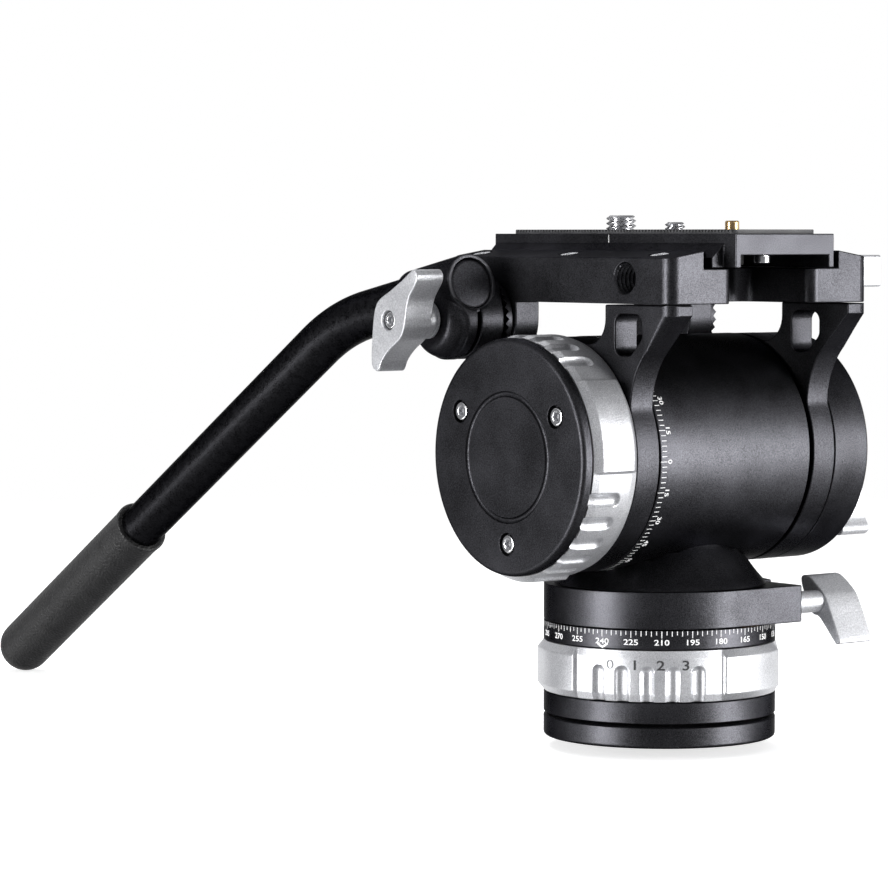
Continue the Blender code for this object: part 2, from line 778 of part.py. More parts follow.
def build_pan_bearing():
    body_low = BASE_PLATE_TOP + GAP
    nut_low = PAN_BEARING_BOTTOM + PAN_BEARING_HEIGHT + GAP
    spindle_top = nut_low + SPINDLE_NUT_HEIGHT
    spindle = turned("pan_spindle", solid_profile((SPINDLE_RADIUS, body_low), (SPINDLE_RADIUS, spindle_top)),
                     INNER_SIDES, "dark_steel")
    inner = SPINDLE_RADIUS + GAP
    outer = BASE_BORE_RADIUS - GAP
    stator_low = body_low + BASE_FLOOR_THICKNESS + GAP
    stator_top = stator_low + STATOR_HEIGHT
    stator = turned("pan_damper_stator", tube_profile(inner, outer, stator_low, stator_top), INNER_SIDES,
                    "white_damper")
    rotor = turned("pan_damper_rotor", tube_profile(inner, outer, stator_top + GAP, SCALE_RING_TOP),
                   INNER_SIDES,
                   "dark_steel")
    bearing = turned("pan_bearing", tube_profile(
        inner, BEARING_CAVITY_RADIUS - GAP, PAN_BEARING_BOTTOM, nut_low - GAP), INNER_SIDES,
        "bearing_bronze")
    nut = turned("pan_spindle_nut", tube_profile(inner, SPINDLE_NUT_RADIUS, nut_low, spindle_top),
                 INNER_SIDES,
                 "dark_steel")
    return [spindle, stator, nut], [rotor, bearing]


def build_housing():
    """Drum, clamp ear, neck and tilt cylinder as one casting with its cavities."""
    drum_low = SCALE_RING_TOP + GAP
    axis = (0, 0, TILT_HEIGHT)
    profile = [(BASE_RADIUS, drum_low), (BASE_RADIUS, DRUM_TOP), (DRUM_SHOULDER_RADIUS, DRUM_TOP)]
    profile += [(radius, DRUM_TOP + rise) for radius, rise in zip(NECK_RADII, NECK_RISES)]
    profile.append((NECK_RADII[-1], TILT_HEIGHT - NECK_END_DROP))
    housing = turned("pan_housing", solid_profile(*profile), ROUND_SIDES, "black_aluminium")
    ear_outline = [(EAR_START, -BASE_RADIUS), (EAR_REACH, -BASE_RADIUS), (EAR_REACH, EAR_DEPTH - BASE_RADIUS),
                   (0, EAR_DEPTH - BASE_RADIUS)]
    ear = prism("pan_lock_ear", ear_outline, drum_low, DRUM_TOP, "black_aluminium", "Z")
    cylinder = turned("tilt_cylinder", solid_profile((CYLINDER_RADIUS, CYLINDER_LEFT),
                                                     (CYLINDER_RADIUS, CYLINDER_RIGHT)),
                      ROUND_SIDES, "black_aluminium", "X", axis)
    join(housing, ear, cylinder)
    cavity = rod_cutter("bearing_cavity", BEARING_CAVITY_RADIUS, drum_low - OVERRUN, BEARING_CAVITY_TOP,
                        "Z",
                        (0, 0, 0), MEDIUM_SIDES)
    left = rod_cutter("left_bore", CYLINDER_BORE_RADIUS, CYLINDER_LEFT - OVERRUN, -WEB_HALF, "X", axis,
                      MEDIUM_SIDES)
    right = rod_cutter("right_bore", CYLINDER_BORE_RADIUS, WEB_HALF, CYLINDER_RIGHT + OVERRUN, "X", axis,
                       MEDIUM_SIDES)
    shaft_hole = rod_cutter("shaft_hole", SHAFT_RADIUS + GAP, -WEB_HALF - OVERRUN, WEB_HALF + OVERRUN, "X",
                            axis)
    lock_axis = (0, LOCK_AXIS_Y, LOCK_AXIS_Z)
    stud_hole = rod_cutter("lock_stud_hole", LOCK_STUD_RADIUS + GAP, LOCK_STUD_START - GAP,
                           EAR_REACH + OVERRUN, "X",
                           lock_axis)
    pad_middle = LOCK_AXIS_Y
    pocket = prism("brake_pad_pocket", box_outline(
        PAD_NEAR - GAP, PAD_FAR + GAP, pad_middle - PAD_DEPTH / 2 - GAP, pad_middle + PAD_DEPTH / 2 + GAP),
        drum_low - OVERRUN, PAD_TOP + GAP, "steel", "Z")
    cut(housing, cavity, left, right, shaft_hole, stud_hole, pocket)
    return housing


def build_pan_lock():
    place = (0, LOCK_AXIS_Y, LOCK_AXIS_Z)
    grip_end = EAR_REACH + GAP + LOCK_STUD_GRIP
    stud = turned("pan_lock_stud", solid_profile((LOCK_STUD_RADIUS, LOCK_STUD_START),
                                                 (LOCK_STUD_RADIUS, grip_end)),
                  SMALL_SIDES, "steel", "X", place)
    pad = prism("pan_brake_pad", box_outline(PAD_NEAR, PAD_FAR, -PAD_DEPTH / 2, PAD_DEPTH / 2),
                SCALE_RING_TOP + GAP, PAD_TOP, "bearing_bronze", "Z", (0, LOCK_AXIS_Y, 0))
    lever = wing("pan_lock_lever", LOCK_WING_SHARES, LOCK_WING_REACH, LOCK_WING_START, LOCK_WING_END, 0,
                 "silver_casting", place)
    shank_end = (LOCK_WING_START + LOCK_WING_END) / 2
    shank = turned("pan_lock_shank", solid_profile((LOCK_SHANK_RADIUS, EAR_REACH + GAP),
                                                   (LOCK_SHANK_RADIUS, shank_end)),
                   SMALL_SIDES, "silver_casting", "X", place)
    join(lever, shank)
    cut(lever, rod_cutter("lock_shank_hole", LOCK_STUD_RADIUS + GAP, EAR_REACH - OVERRUN, grip_end + GAP,
                          "X", place))
    return lever, stud, pad


# Tilt unit

def build_tilt_inside():
    """Axle, damping unit, counterbalance spring and brake inside the cylinder, the arms and the flange."""
    axis = (0, 0, TILT_HEIGHT)
    inner = SHAFT_RADIUS + GAP
    shaft = turned("tilt_shaft", solid_profile((SHAFT_RADIUS, SHAFT_LEFT), (SHAFT_RADIUS, SHAFT_RIGHT)),
                   INNER_SIDES, "dark_steel", "X", axis)
    wire = SPRING_WIRE_RADIUS
    spring_low = CYLINDER_LEFT + wire + GAP
    spring_high = -WEB_HALF - wire - GAP
    spring = swept("counterbalance_spring", helix("X", SPRING_RADIUS, SPRING_TURNS, SPRING_STEPS,
                                                  spring_low,
                                                  spring_high),
                   SPRING_SIDES, wire, 0, "dark_steel", axis)
    stator = turned("tilt_damper_stator", tube_profile(inner, DAMPER_RADIUS, WEB_HALF + GAP, DAMPER_SPLIT),
                    INNER_SIDES, "white_damper", "X", axis)
    rotor = turned("tilt_damper_rotor", tube_profile(inner, DAMPER_RADIUS, DAMPER_SPLIT + GAP,
                                                     ARM_INNER - GAP),
                   INNER_SIDES, "dark_steel", "X", axis)
    brake = turned("tilt_brake_disc", tube_profile(inner, FLANGE_POCKET_RADIUS - GAP, ARM_OUTER + GAP + GAP,
                                                   BRAKE_END), INNER_SIDES, "bearing_bronze", "X", axis)
    bearings = []
    for name, side in (("tilt_bearing_left", -1), ("tilt_bearing_right", 1)):
        low, high = sorted((side * (ARM_INNER + GAP), side * (ARM_OUTER - GAP)))
        bearings.append(turned(name, tube_profile(inner, BEARING_RADIUS, low, high), INNER_SIDES,
                               "bearing_bronze", "X", axis))
    return [shaft, spring, stator, brake], [rotor, *bearings]


def arm_outline():
    """Side view of an arm about the tilt axis: round body, waist, diagonal, lip and straight rear edge."""
    top = ARM_TOP - TILT_HEIGHT
    lip = top - ARM_LIP_HEIGHT
    diagonal = math.pi / 4
    fillet_y = -(ARM_WAIST + ARM_FRONT_FILLET)
    joint_y = fillet_y + ARM_FRONT_FILLET * math.cos(diagonal)
    fillet_z = lip - (joint_y + ARM_FRONT) - ARM_FRONT_FILLET * math.sin(diagonal)
    front = circle_arc((fillet_y, fillet_z), ARM_FRONT_FILLET, diagonal, 0, ARC_STEPS + 2)
    rear_y = ARM_REAR_FILLET - ARM_REAR
    rear_z = math.sqrt((ARM_RADIUS + ARM_REAR_FILLET) ** 2 - rear_y ** 2)
    toward_axis = math.atan2(-rear_z, -rear_y)
    rear = circle_arc((rear_y, rear_z), ARM_REAR_FILLET, toward_axis, -math.pi, ARC_STEPS)
    start = math.pi - math.asin(math.sqrt(ARM_RADIUS ** 2 - ARM_WAIST ** 2) / ARM_RADIUS)
    end = math.atan2(rear_z, rear_y)
    body = circle_arc((0, 0), ARM_RADIUS, start, end + math.tau, ARM_ARC_STEPS)
    corners = [(-ARM_REAR, top), (-ARM_FRONT, top), (-ARM_FRONT, lip)]
    return corners + front + body[1:-1] + rear


def slot_outline():
    low = SLOT_BOTTOM - TILT_HEIGHT
    high = SLOT_TOP - TILT_HEIGHT
    corners = [(-SLOT_REAR, low), (-SLOT_REAR, high), (-SLOT_FRONT, high),
               (-SLOT_FRONT, low + SLOT_CORNER_CUT),
               (SLOT_CORNER_CUT - SLOT_FRONT, low)]
    return rounded(corners, SLOT_ROUNDING, ARC_STEPS - 1)


def build_arm(name, side):
    axis = (0, 0, TILT_HEIGHT)
    low, high = sorted((side * ARM_INNER, side * ARM_OUTER))
    arm = prism(name, arm_outline(), low, high, "black_casting", "X", axis)
    soften(arm, ARM_BEVEL)
    slot = prism(name + "_slot", slot_outline(), low - OVERRUN, high + OVERRUN, "black_casting", "X", axis)
    bore = rod_cutter(name + "_bore", BEARING_RADIUS + GAP, low - OVERRUN, high + OVERRUN, "X", axis,
                      MEDIUM_SIDES)
    corner = corner_cutter(name + "_corner", side * ARM_OUTER, -ARM_FRONT, PLATFORM_CORNER,
                           TILT_HEIGHT + ARM_RADIUS - OVERRUN, ARM_TOP + OVERRUN, "black_casting")
    cut(arm, slot, bore, corner)
    return arm


def build_knob():
    axis = (0, 0, TILT_HEIGHT)
    hub_back = -ARM_OUTER - GAP
    hub_face = KNOB_BACK + GAP
    hub = turned("tilt_drag_hub", tube_profile(SHAFT_RADIUS + GAP, HUB_RADIUS, hub_face, hub_back),
                 MEDIUM_SIDES,
                 "black_aluminium", "X", axis)
    ring = drag_ring("tilt_drag_ring", TILT_RING_WIDTH, CYLINDER_RADIUS, TILT_RING_TURN,
                     "silver_aluminium")
    ring.rotation_euler.y = math.pi / 2
    ring.location = (hub_back - TILT_RING_WIDTH, 0, TILT_HEIGHT)
    groove_inner = KNOB_GROOVE_RADIUS - KNOB_GROOVE_WIDTH
    cover = turned("tilt_knob_cover", solid_profile(
        (groove_inner, KNOB_FACE),
        (groove_inner, KNOB_FACE + KNOB_GROOVE_DEPTH),
        (KNOB_GROOVE_RADIUS, KNOB_FACE + KNOB_GROOVE_DEPTH),
        (KNOB_GROOVE_RADIUS, KNOB_FACE),
        (KNOB_RADIUS - KNOB_BEVEL, KNOB_FACE),
        (KNOB_RADIUS, KNOB_FACE + KNOB_BEVEL),
        (KNOB_RADIUS, KNOB_BACK),
    ), ROUND_SIDES, "black_aluminium", "X", axis)
    screws = []
    cover_cuts = []
    hub_cuts = []
    for number in range(COVER_SCREWS):
        angle = COVER_SCREW_FIRST + math.tau * number / COVER_SCREWS
        place = (KNOB_FACE, COVER_SCREW_CIRCLE * math.cos(angle),
                 TILT_HEIGHT + COVER_SCREW_CIRCLE * math.sin(angle))
        label = "cover_screw_" + str(number + 1)
        recess = rod_cutter(label + "_recess", COVER_SCREW_RECESS, -OVERRUN, COVER_RECESS_DEPTH, "X", place)
        hole = rod_cutter(label + "_hole", COVER_SCREW_SHANK + GAP, 0, COVER_SCREW_LENGTH + OVERRUN, "X",
                          place)
        thread = rod_cutter(label + "_thread", COVER_SCREW_SHANK + GAP, 0, COVER_SCREW_LENGTH + OVERRUN,
                            "X", place)
        cover_cuts += [recess, hole]
        hub_cuts.append(thread)
        head_height = COVER_RECESS_DEPTH - GAP - GAP
        screws.append(socket_screw(label, "X", (KNOB_FACE + GAP, place[1], place[2]),
                                   (COVER_SCREW_HEAD, head_height),
                                   (COVER_SCREW_SHANK, COVER_SCREW_LENGTH - head_height), "steel"))
    cut(cover, *cover_cuts)
    cut(hub, *hub_cuts)
    return hub, ring, cover, screws


def build_flange():
    axis = (0, 0, TILT_HEIGHT)
    low = ARM_OUTER + GAP
    pocket_end = BRAKE_END + GAP
    flange = turned("end_flange", solid_profile(
        (FLANGE_RADIUS, low),
        (FLANGE_RADIUS, FLANGE_END - FLANGE_BEVEL),
        (FLANGE_RADIUS - FLANGE_BEVEL, FLANGE_END),
    ), ROUND_SIDES, "black_aluminium", "X", axis)
    pocket = rod_cutter("flange_pocket", FLANGE_POCKET_RADIUS, low - OVERRUN, pocket_end, "X", axis,
                        MEDIUM_SIDES)
    shaft_end = rod_cutter("flange_shaft_hole", SHAFT_RADIUS + GAP, low - OVERRUN, SHAFT_RIGHT + GAP, "X",
                           axis)
    place = (0, TILT_LOCK_Y, TILT_HEIGHT - TILT_LOCK_DROP)
    stud_hole = rod_cutter("flange_stud_hole", TILT_LOCK_STUD_RADIUS + GAP, low, FLANGE_END + OVERRUN, "X",
                           place)
    cut(flange, pocket, shaft_end, stud_hole)
    stud_low = BRAKE_END + GAP
    stud_end = (TILT_LOCK_WING_START + TILT_LOCK_WING_END) / 2
    stud = turned("tilt_lock_stud", solid_profile((TILT_LOCK_STUD_RADIUS, stud_low),
                                                  (TILT_LOCK_STUD_RADIUS, stud_end)),
                  SMALL_SIDES, "steel", "X", place)
    lever = wing("tilt_lock_lever", HANDLE_WING_SHARES, HANDLE_WING_REACH, TILT_LOCK_WING_START,
                 TILT_LOCK_WING_END, TILT_LOCK_TURN, "silver_casting", place)
    hub = turned("tilt_lock_hub", solid_profile((TILT_LOCK_HUB_RADIUS, FLANGE_END + GAP),
                                                (TILT_LOCK_HUB_RADIUS, stud_end)),
                 SMALL_SIDES, "silver_casting", "X", place)
    join(lever, hub)
    cut(lever, rod_cutter("tilt_lock_hole", TILT_LOCK_STUD_RADIUS + GAP, FLANGE_END - OVERRUN,
                          stud_end + GAP, "X",
                          place))
    return flange, stud, lever


# Platform and quick release

def build_platform():
    """Two rails, a channel between them, a front notch and two lugs below the rear."""
    front = -ARM_FRONT
    half_profile = [(PLATFORM_HALF, PLATFORM_BOTTOM), (PLATFORM_HALF, PLATFORM_EDGE_TOP),
                    (CHANNEL_HALF, PLATFORM_LIP_TOP), (CHANNEL_HALF, PLATFORM_FLOOR)]
    outline = half_profile + [(-x, z) for x, z in reversed(half_profile)]
    platform = prism("platform", outline, front, PLATFORM_REAR, "black_aluminium", "Y")
    lugs = []
    for side in (-1, 1):
        low, high = sorted((side * LUG_INNER, side * PLATFORM_HALF))
        top = PLATFORM_BOTTOM - HINGE_Z + GAP
        lug_outline = [(-LUG_RADIUS, top)]
        lug_outline += circle_arc((0, 0), LUG_RADIUS, math.pi, math.tau, SMALL_SIDES)
        lug_outline.append((LUG_RADIUS, top))
        lugs.append(prism("lug_" + str(side), lug_outline, low, high, "black_aluminium", "X",
                          (0, HINGE_Y, HINGE_Z)))
    join(platform, *lugs)
    notch = prism("front_notch", rounded(box_outline(-NOTCH_HALF, NOTCH_HALF, front - NOTCH_HALF,
                                                     NOTCH_REAR),
                                         NOTCH_CORNER),
                  PLATFORM_BOTTOM - OVERRUN, PLATFORM_LIP_TOP, "black_aluminium", "Z")
    hole = rod_cutter("accessory_hole", ACCESSORY_RADIUS, -PLATFORM_HALF - OVERRUN,
                      ACCESSORY_DEPTH - PLATFORM_HALF,
                      "X", (0, ACCESSORY_Y, ACCESSORY_Z), MEDIUM_SIDES)
    cuts = [notch, hole]
    for x in (-PLATFORM_HALF, PLATFORM_HALF):
        for y in (front, PLATFORM_REAR):
            cuts.append(corner_cutter("platform_corner", x, y, PLATFORM_CORNER, PLATFORM_BOTTOM - OVERRUN,
                                      PLATFORM_LIP_TOP, "black_aluminium"))
    for side in (-1, 1):
        low, high = sorted((side * (LUG_INNER - OVERRUN), side * (PLATFORM_HALF + OVERRUN)))
        cuts.append(rod_cutter("hinge_hole", HINGE_STUD_RADIUS + GAP, low, high, "X", (0, HINGE_Y, HINGE_Z)))
    pocket = prism("tongue_pocket", box_outline(
        JAW_FOOT_INNER - GAP, CHANNEL_HALF, CLAMP_AXIS_Y - JAW_TONGUE_HALF - GAP,
        CLAMP_AXIS_Y + JAW_TONGUE_HALF + GAP),
        JAW_TONGUE_BOTTOM - GAP, PLATFORM_FLOOR + OVERRUN, "steel", "Z")
    stud_hole = rod_cutter("clamp_stud_hole", CLAMP_STUD_RADIUS + GAP, CHANNEL_HALF - OVERRUN / 2,
                           PLATFORM_HALF + OVERRUN, "X", (0, CLAMP_AXIS_Y, CLAMP_AXIS_Z))
    cuts += [pocket, stud_hole]
    screws = []
    for side, word in ((-1, "left"), (1, "right")):
        for number, y in enumerate(RAIL_SCREW_PLACES):
            place = (side * RAIL_SCREW_X, y, RAIL_RECESS_FLOOR)
            label = "rail_screw_" + word + "_" + str(number + 1)
            recess = rod_cutter(label + "_recess", RAIL_RECESS_RADIUS, 0,
                                PLATFORM_LIP_TOP - RAIL_RECESS_FLOOR
                                + OVERRUN, "Z", place)
            hole = rod_cutter(label + "_hole", RAIL_SHANK_RADIUS + GAP, -RAIL_SHANK_LENGTH - GAP,
                              OVERRUN / 2, "Z",
                              place)
            cuts += [recess, hole]
            top = RAIL_RECESS_FLOOR + GAP + RAIL_HEAD_HEIGHT
            screws.append(socket_screw(label, "Z", (place[0], y, top), (RAIL_HEAD_RADIUS, RAIL_HEAD_HEIGHT),
                                       (RAIL_SHANK_RADIUS, RAIL_SHANK_LENGTH), "steel", -1))
    cut(platform, *cuts)
    return platform, screws


def build_rosette(name, side):
    """Toothed disc about X. Its teeth point away from the lug."""
    shape = bmesh.new()
    back = side * (PLATFORM_HALF + GAP)
    crest = side * ROSETTE_OUTER
    root = crest - side * ROSETTE_TOOTH_DEPTH
    count = 2 * ROSETTE_TEETH
    levels = (
        (HINGE_STUD_RADIUS + GAP, back, back),
        (ROSETTE_RADIUS, back, back),
        (ROSETTE_RADIUS, crest, root),
        (ROSETTE_HUB_RADIUS, crest, root),
        (HINGE_STUD_RADIUS + GAP, root, root),
    )
    rings = []
    for radius, even, odd in levels:
        ring = []
        for step in range(count):
            angle = math.tau * step / count
            height = odd if step % 2 else even
            ring.append(shape.verts.new((height, radius * math.cos(angle), radius * math.sin(angle))))
        rings.append(ring)
    for lower, upper in zip(rings, rings[1:] + rings[:1]):
        bridge_rings(shape, lower, upper)
    return make_object(name, shape, "black_aluminium", (0, HINGE_Y, HINGE_Z))


def jaw_outline(side, outer):
    points = [(outer, PLATFORM_FLOOR + GAP), (JAW_FOOT_INNER, PLATFORM_FLOOR + GAP),
              (JAW_FOOT_INNER, JAW_SHOULDER),
              (JAW_TIP_INNER, JAW_TOP), (outer, JAW_TOP)]
    return [(side * x, z) for x, z in points]


def build_clamp():
    place = (0, CLAMP_AXIS_Y, CLAMP_AXIS_Z)
    gib = prism("fixed_gib", jaw_outline(-1, CHANNEL_HALF - GAP), JAW_FRONT, JAW_REAR, "dark_steel", "Y")
    jaw = prism("clamp_jaw", jaw_outline(1, JAW_OUTER), JAW_FRONT, JAW_REAR, "dark_steel", "Y")
    tongue = prism("jaw_tongue", box_outline(JAW_FOOT_INNER, JAW_OUTER, CLAMP_AXIS_Y - JAW_TONGUE_HALF,
                                             CLAMP_AXIS_Y + JAW_TONGUE_HALF),
                   JAW_TONGUE_BOTTOM, PLATFORM_FLOOR + GAP * 2, "dark_steel", "Z")
    join(jaw, tongue)
    grip_end = PLATFORM_HALF + GAP + CLAMP_STUD_GRIP
    stud = turned("clamp_stud", solid_profile((CLAMP_STUD_RADIUS, JAW_OUTER + GAP),
                                              (CLAMP_STUD_RADIUS, grip_end)),
                  SMALL_SIDES, "steel", "X", place)
    bar = rounded(box_outline(-CLAMP_LEVER_FRONT, CLAMP_LEVER_LENGTH - CLAMP_LEVER_FRONT,
                              -CLAMP_LEVER_HALF_HEIGHT, CLAMP_LEVER_HALF_HEIGHT), CLAMP_LEVER_ROUNDING)
    lever = prism("clamp_lever", bar, CLAMP_LEVER_START, CLAMP_LEVER_END, "silver_casting", "X", place)
    soften(lever, LEVER_BEVEL)
    hub_end = (CLAMP_LEVER_START + CLAMP_LEVER_END) / 2
    hub = turned("clamp_lever_hub", solid_profile((CLAMP_HUB_RADIUS - GAP, PLATFORM_HALF + GAP),
                                                  (CLAMP_HUB_RADIUS - GAP, hub_end)),
                 SMALL_SIDES, "silver_casting", "X", place)
    join(lever, hub)
    cut(lever, rod_cutter("clamp_lever_hole", CLAMP_STUD_RADIUS + GAP, PLATFORM_HALF - OVERRUN,
                          grip_end + CLAMP_TRAVEL + GAP, "X", place))
    return gib, jaw, stud, lever


def build_plate():
    """Dovetail plate, its rubber pad, camera screws, video pin, pin spring and stop screw."""
    half_profile = [(PLATE_HALF, PLATE_TOP), (PLATE_HALF, PLATE_STRIP_BOTTOM),
                    (PLATE_FOOT_HALF, PLATE_FOOT_TOP),
                    (PLATE_FOOT_HALF, PLATE_BOTTOM), (PLATE_LEG_INNER, PLATE_BOTTOM),
                    (PLATE_LEG_INNER, PLATE_UNDERSIDE)]
    outline = half_profile + [(-x, z) for x, z in reversed(half_profile)]
    plate = prism("qr_plate", outline, PLATE_FRONT, PLATE_REAR, "black_aluminium", "Y")
    foot_cuts = []
    for side in (-1, 1):
        low, high = sorted((side * PLATE_HALF, side * (PLATE_FOOT_HALF + OVERRUN)))
        for first, second in ((PLATE_FRONT - OVERRUN, FOOT_FRONT), (-FOOT_FRONT, PLATE_REAR + OVERRUN)):
            foot_cuts.append(prism("foot_end_cut", box_outline(low, high, first, second),
                                   PLATE_BOTTOM - OVERRUN,
                                   PLATE_STRIP_BOTTOM + OVERRUN / 2, "black_aluminium", "Z"))
    boss = rod_cutter("pin_boss", PIN_BOSS_RADIUS, PIN_BOSS_BOTTOM, PLATE_UNDERSIDE + GAP, "Z",
                      (0, PIN_Y, 0))
    join(plate, boss)
    slot = prism("screw_slot", rounded(box_outline(-PLATE_SLOT_HALF, PLATE_SLOT_HALF, PLATE_SLOT_FRONT,
                                                   PLATE_SLOT_REAR), PLATE_SLOT_HALF - GAP, ARC_STEPS + 1),
                 PLATE_UNDERSIDE - OVERRUN, PLATE_TOP + OVERRUN, "black_aluminium", "Z")
    cage = rod_cutter("pin_cage", PIN_COLLAR_RADIUS + GAP, PIN_BOSS_BOTTOM + PIN_BOSS_FLOOR,
                      PIN_COLLAR_TOP + GAP, "Z", (0, PIN_Y, 0))
    pin_hole = rod_cutter("pin_hole", PIN_RADIUS + GAP, PIN_COLLAR_TOP, PLATE_TOP + OVERRUN, "Z",
                          (0, PIN_Y, 0))
    stem_hole = rod_cutter("pin_stem_hole", PIN_STEM_RADIUS + GAP, PIN_BOSS_BOTTOM - OVERRUN,
                           PIN_BOSS_BOTTOM + OVERRUN, "Z", (0, PIN_Y, 0))
    stop_hole = rod_cutter("stop_hole", STOP_SHANK_RADIUS + GAP, PLATE_UNDERSIDE - OVERRUN,
                           STOP_SHANK_TOP + GAP,
                           "Z", (0, STOP_SCREW_Y, 0))
    cut(plate, *foot_cuts, slot, cage, pin_hole, stem_hole, stop_hole)

    pad_low = PLATE_TOP + GAP
    pad = prism("plate_pad", rounded(box_outline(-RUBBER_HALF_WIDTH, RUBBER_HALF_WIDTH, -RUBBER_HALF_LENGTH,
                                                 RUBBER_HALF_LENGTH), RUBBER_ROUNDING),
                pad_low, PLATE_TOP + RUBBER_THICKNESS, "rubber", "Z")
    pad_slot = prism("pad_slot", rounded(box_outline(-PLATE_SLOT_HALF, PLATE_SLOT_HALF, PLATE_SLOT_FRONT,
                                                     PLATE_SLOT_REAR), PLATE_SLOT_HALF - GAP,
                                                     ARC_STEPS + 1),
                     PLATE_TOP - OVERRUN, PLATE_TOP + OVERRUN, "rubber", "Z")
    pad_hole = rod_cutter("pad_pin_hole", PIN_RADIUS + GAP, PLATE_TOP - OVERRUN, PLATE_TOP + OVERRUN, "Z",
                          (0, PIN_Y, 0))
    cut(pad, pad_slot, pad_hole)

    screws = []
    for name, y, radius, top, head in (
        ("large_camera_screw", LARGE_SCREW_Y, LARGE_SCREW_RADIUS, LARGE_SCREW_TOP, LARGE_HEAD_RADIUS),
        ("small_camera_screw", SMALL_SCREW_Y, SMALL_SCREW_RADIUS, SMALL_SCREW_TOP, SMALL_HEAD_RADIUS),
    ):
        head_top = PLATE_UNDERSIDE - GAP
        screws.append(turned(name, solid_profile(
            (head, head_top - SCREW_HEAD_HEIGHT),
            (head, head_top),
            (radius, head_top),
            (radius, top - SCREW_CHAMFER),
            (radius - SCREW_CHAMFER, top),
        ), MEDIUM_SIDES, "steel", "Z", (0, y, 0)))
    collar_low = PIN_COLLAR_TOP - PIN_COLLAR_HEIGHT
    pin = turned("video_pin", solid_profile(
        (PIN_STEM_RADIUS, PIN_BOSS_BOTTOM),
        (PIN_STEM_RADIUS, collar_low),
        (PIN_COLLAR_RADIUS, collar_low),
        (PIN_COLLAR_RADIUS, PIN_COLLAR_TOP),
        (PIN_RADIUS, PIN_COLLAR_TOP),
        (PIN_RADIUS, PIN_TOP - SCREW_CHAMFER),
        (PIN_RADIUS - SCREW_CHAMFER, PIN_TOP),
    ), SMALL_SIDES, "brass", "Z", (0, PIN_Y, 0))
    spring_low = PIN_BOSS_BOTTOM + PIN_BOSS_FLOOR + PIN_SPRING_WIRE + GAP
    spring = swept("pin_spring", helix("Z", PIN_SPRING_RADIUS, PIN_SPRING_TURNS, PIN_SPRING_STEPS,
                                       spring_low,
                                       collar_low - PIN_SPRING_WIRE - GAP),
                   SPRING_SIDES, PIN_SPRING_WIRE, 0, "steel", (0, PIN_Y, 0))
    stop = socket_screw("plate_stop_screw", "Z", (0, STOP_SCREW_Y, STOP_HEAD_BOTTOM),
                        (STOP_HEAD_RADIUS, PLATE_UNDERSIDE - GAP - STOP_HEAD_BOTTOM),
                        (STOP_SHANK_RADIUS, STOP_SHANK_TOP - PLATE_UNDERSIDE + GAP), "steel")
    return plate, pad, screws, pin, spring, stop


# Handle

def handle_point(distance):
    """Point of the sleeve's centre line, measured back from its front end."""
    down = Vector((0, math.cos(FRONT_SLOPE), -math.sin(FRONT_SLOPE)))
    up = Vector((0, math.sin(FRONT_SLOPE), math.cos(FRONT_SLOPE)))
    hinge = Vector((HANDLE_X, HINGE_Y, HINGE_Z))
    return hinge + up * SLEEVE_RISE + down * (distance - SLEEVE_FRONT)


def rear_point(distance):
    """Point of the rear straight's centre line, measured back from the corner of the bend."""
    down = Vector((0, math.cos(REAR_SLOPE), -math.sin(REAR_SLOPE)))
    return handle_point(BEND_DISTANCE) + down * distance


def tube_path():
    """Centre line of the tube: front straight, one bend, rear straight."""
    bend = REAR_SLOPE - FRONT_SLOPE
    trim = BEND_RADIUS * math.tan(bend / 2)
    start = handle_point(BEND_DISTANCE - trim)
    centre = start - Vector((0, math.sin(FRONT_SLOPE), math.cos(FRONT_SLOPE))) * BEND_RADIUS
    path = [handle_point(CAP_DEPTH + GAP)]
    for step in range(BEND_STEPS + 1):
        slope = FRONT_SLOPE + bend * step / BEND_STEPS
        path.append(centre + Vector((0, math.sin(slope), math.cos(slope))) * BEND_RADIUS)
    path.append(rear_point(REAR_LENGTH + TUBE_IN_GRIP))
    return path


def lie_along(item, slope):
    """Turns a body made along Z so that it points back and down by a slope."""
    item.rotation_euler.x = -math.pi / 2 - slope


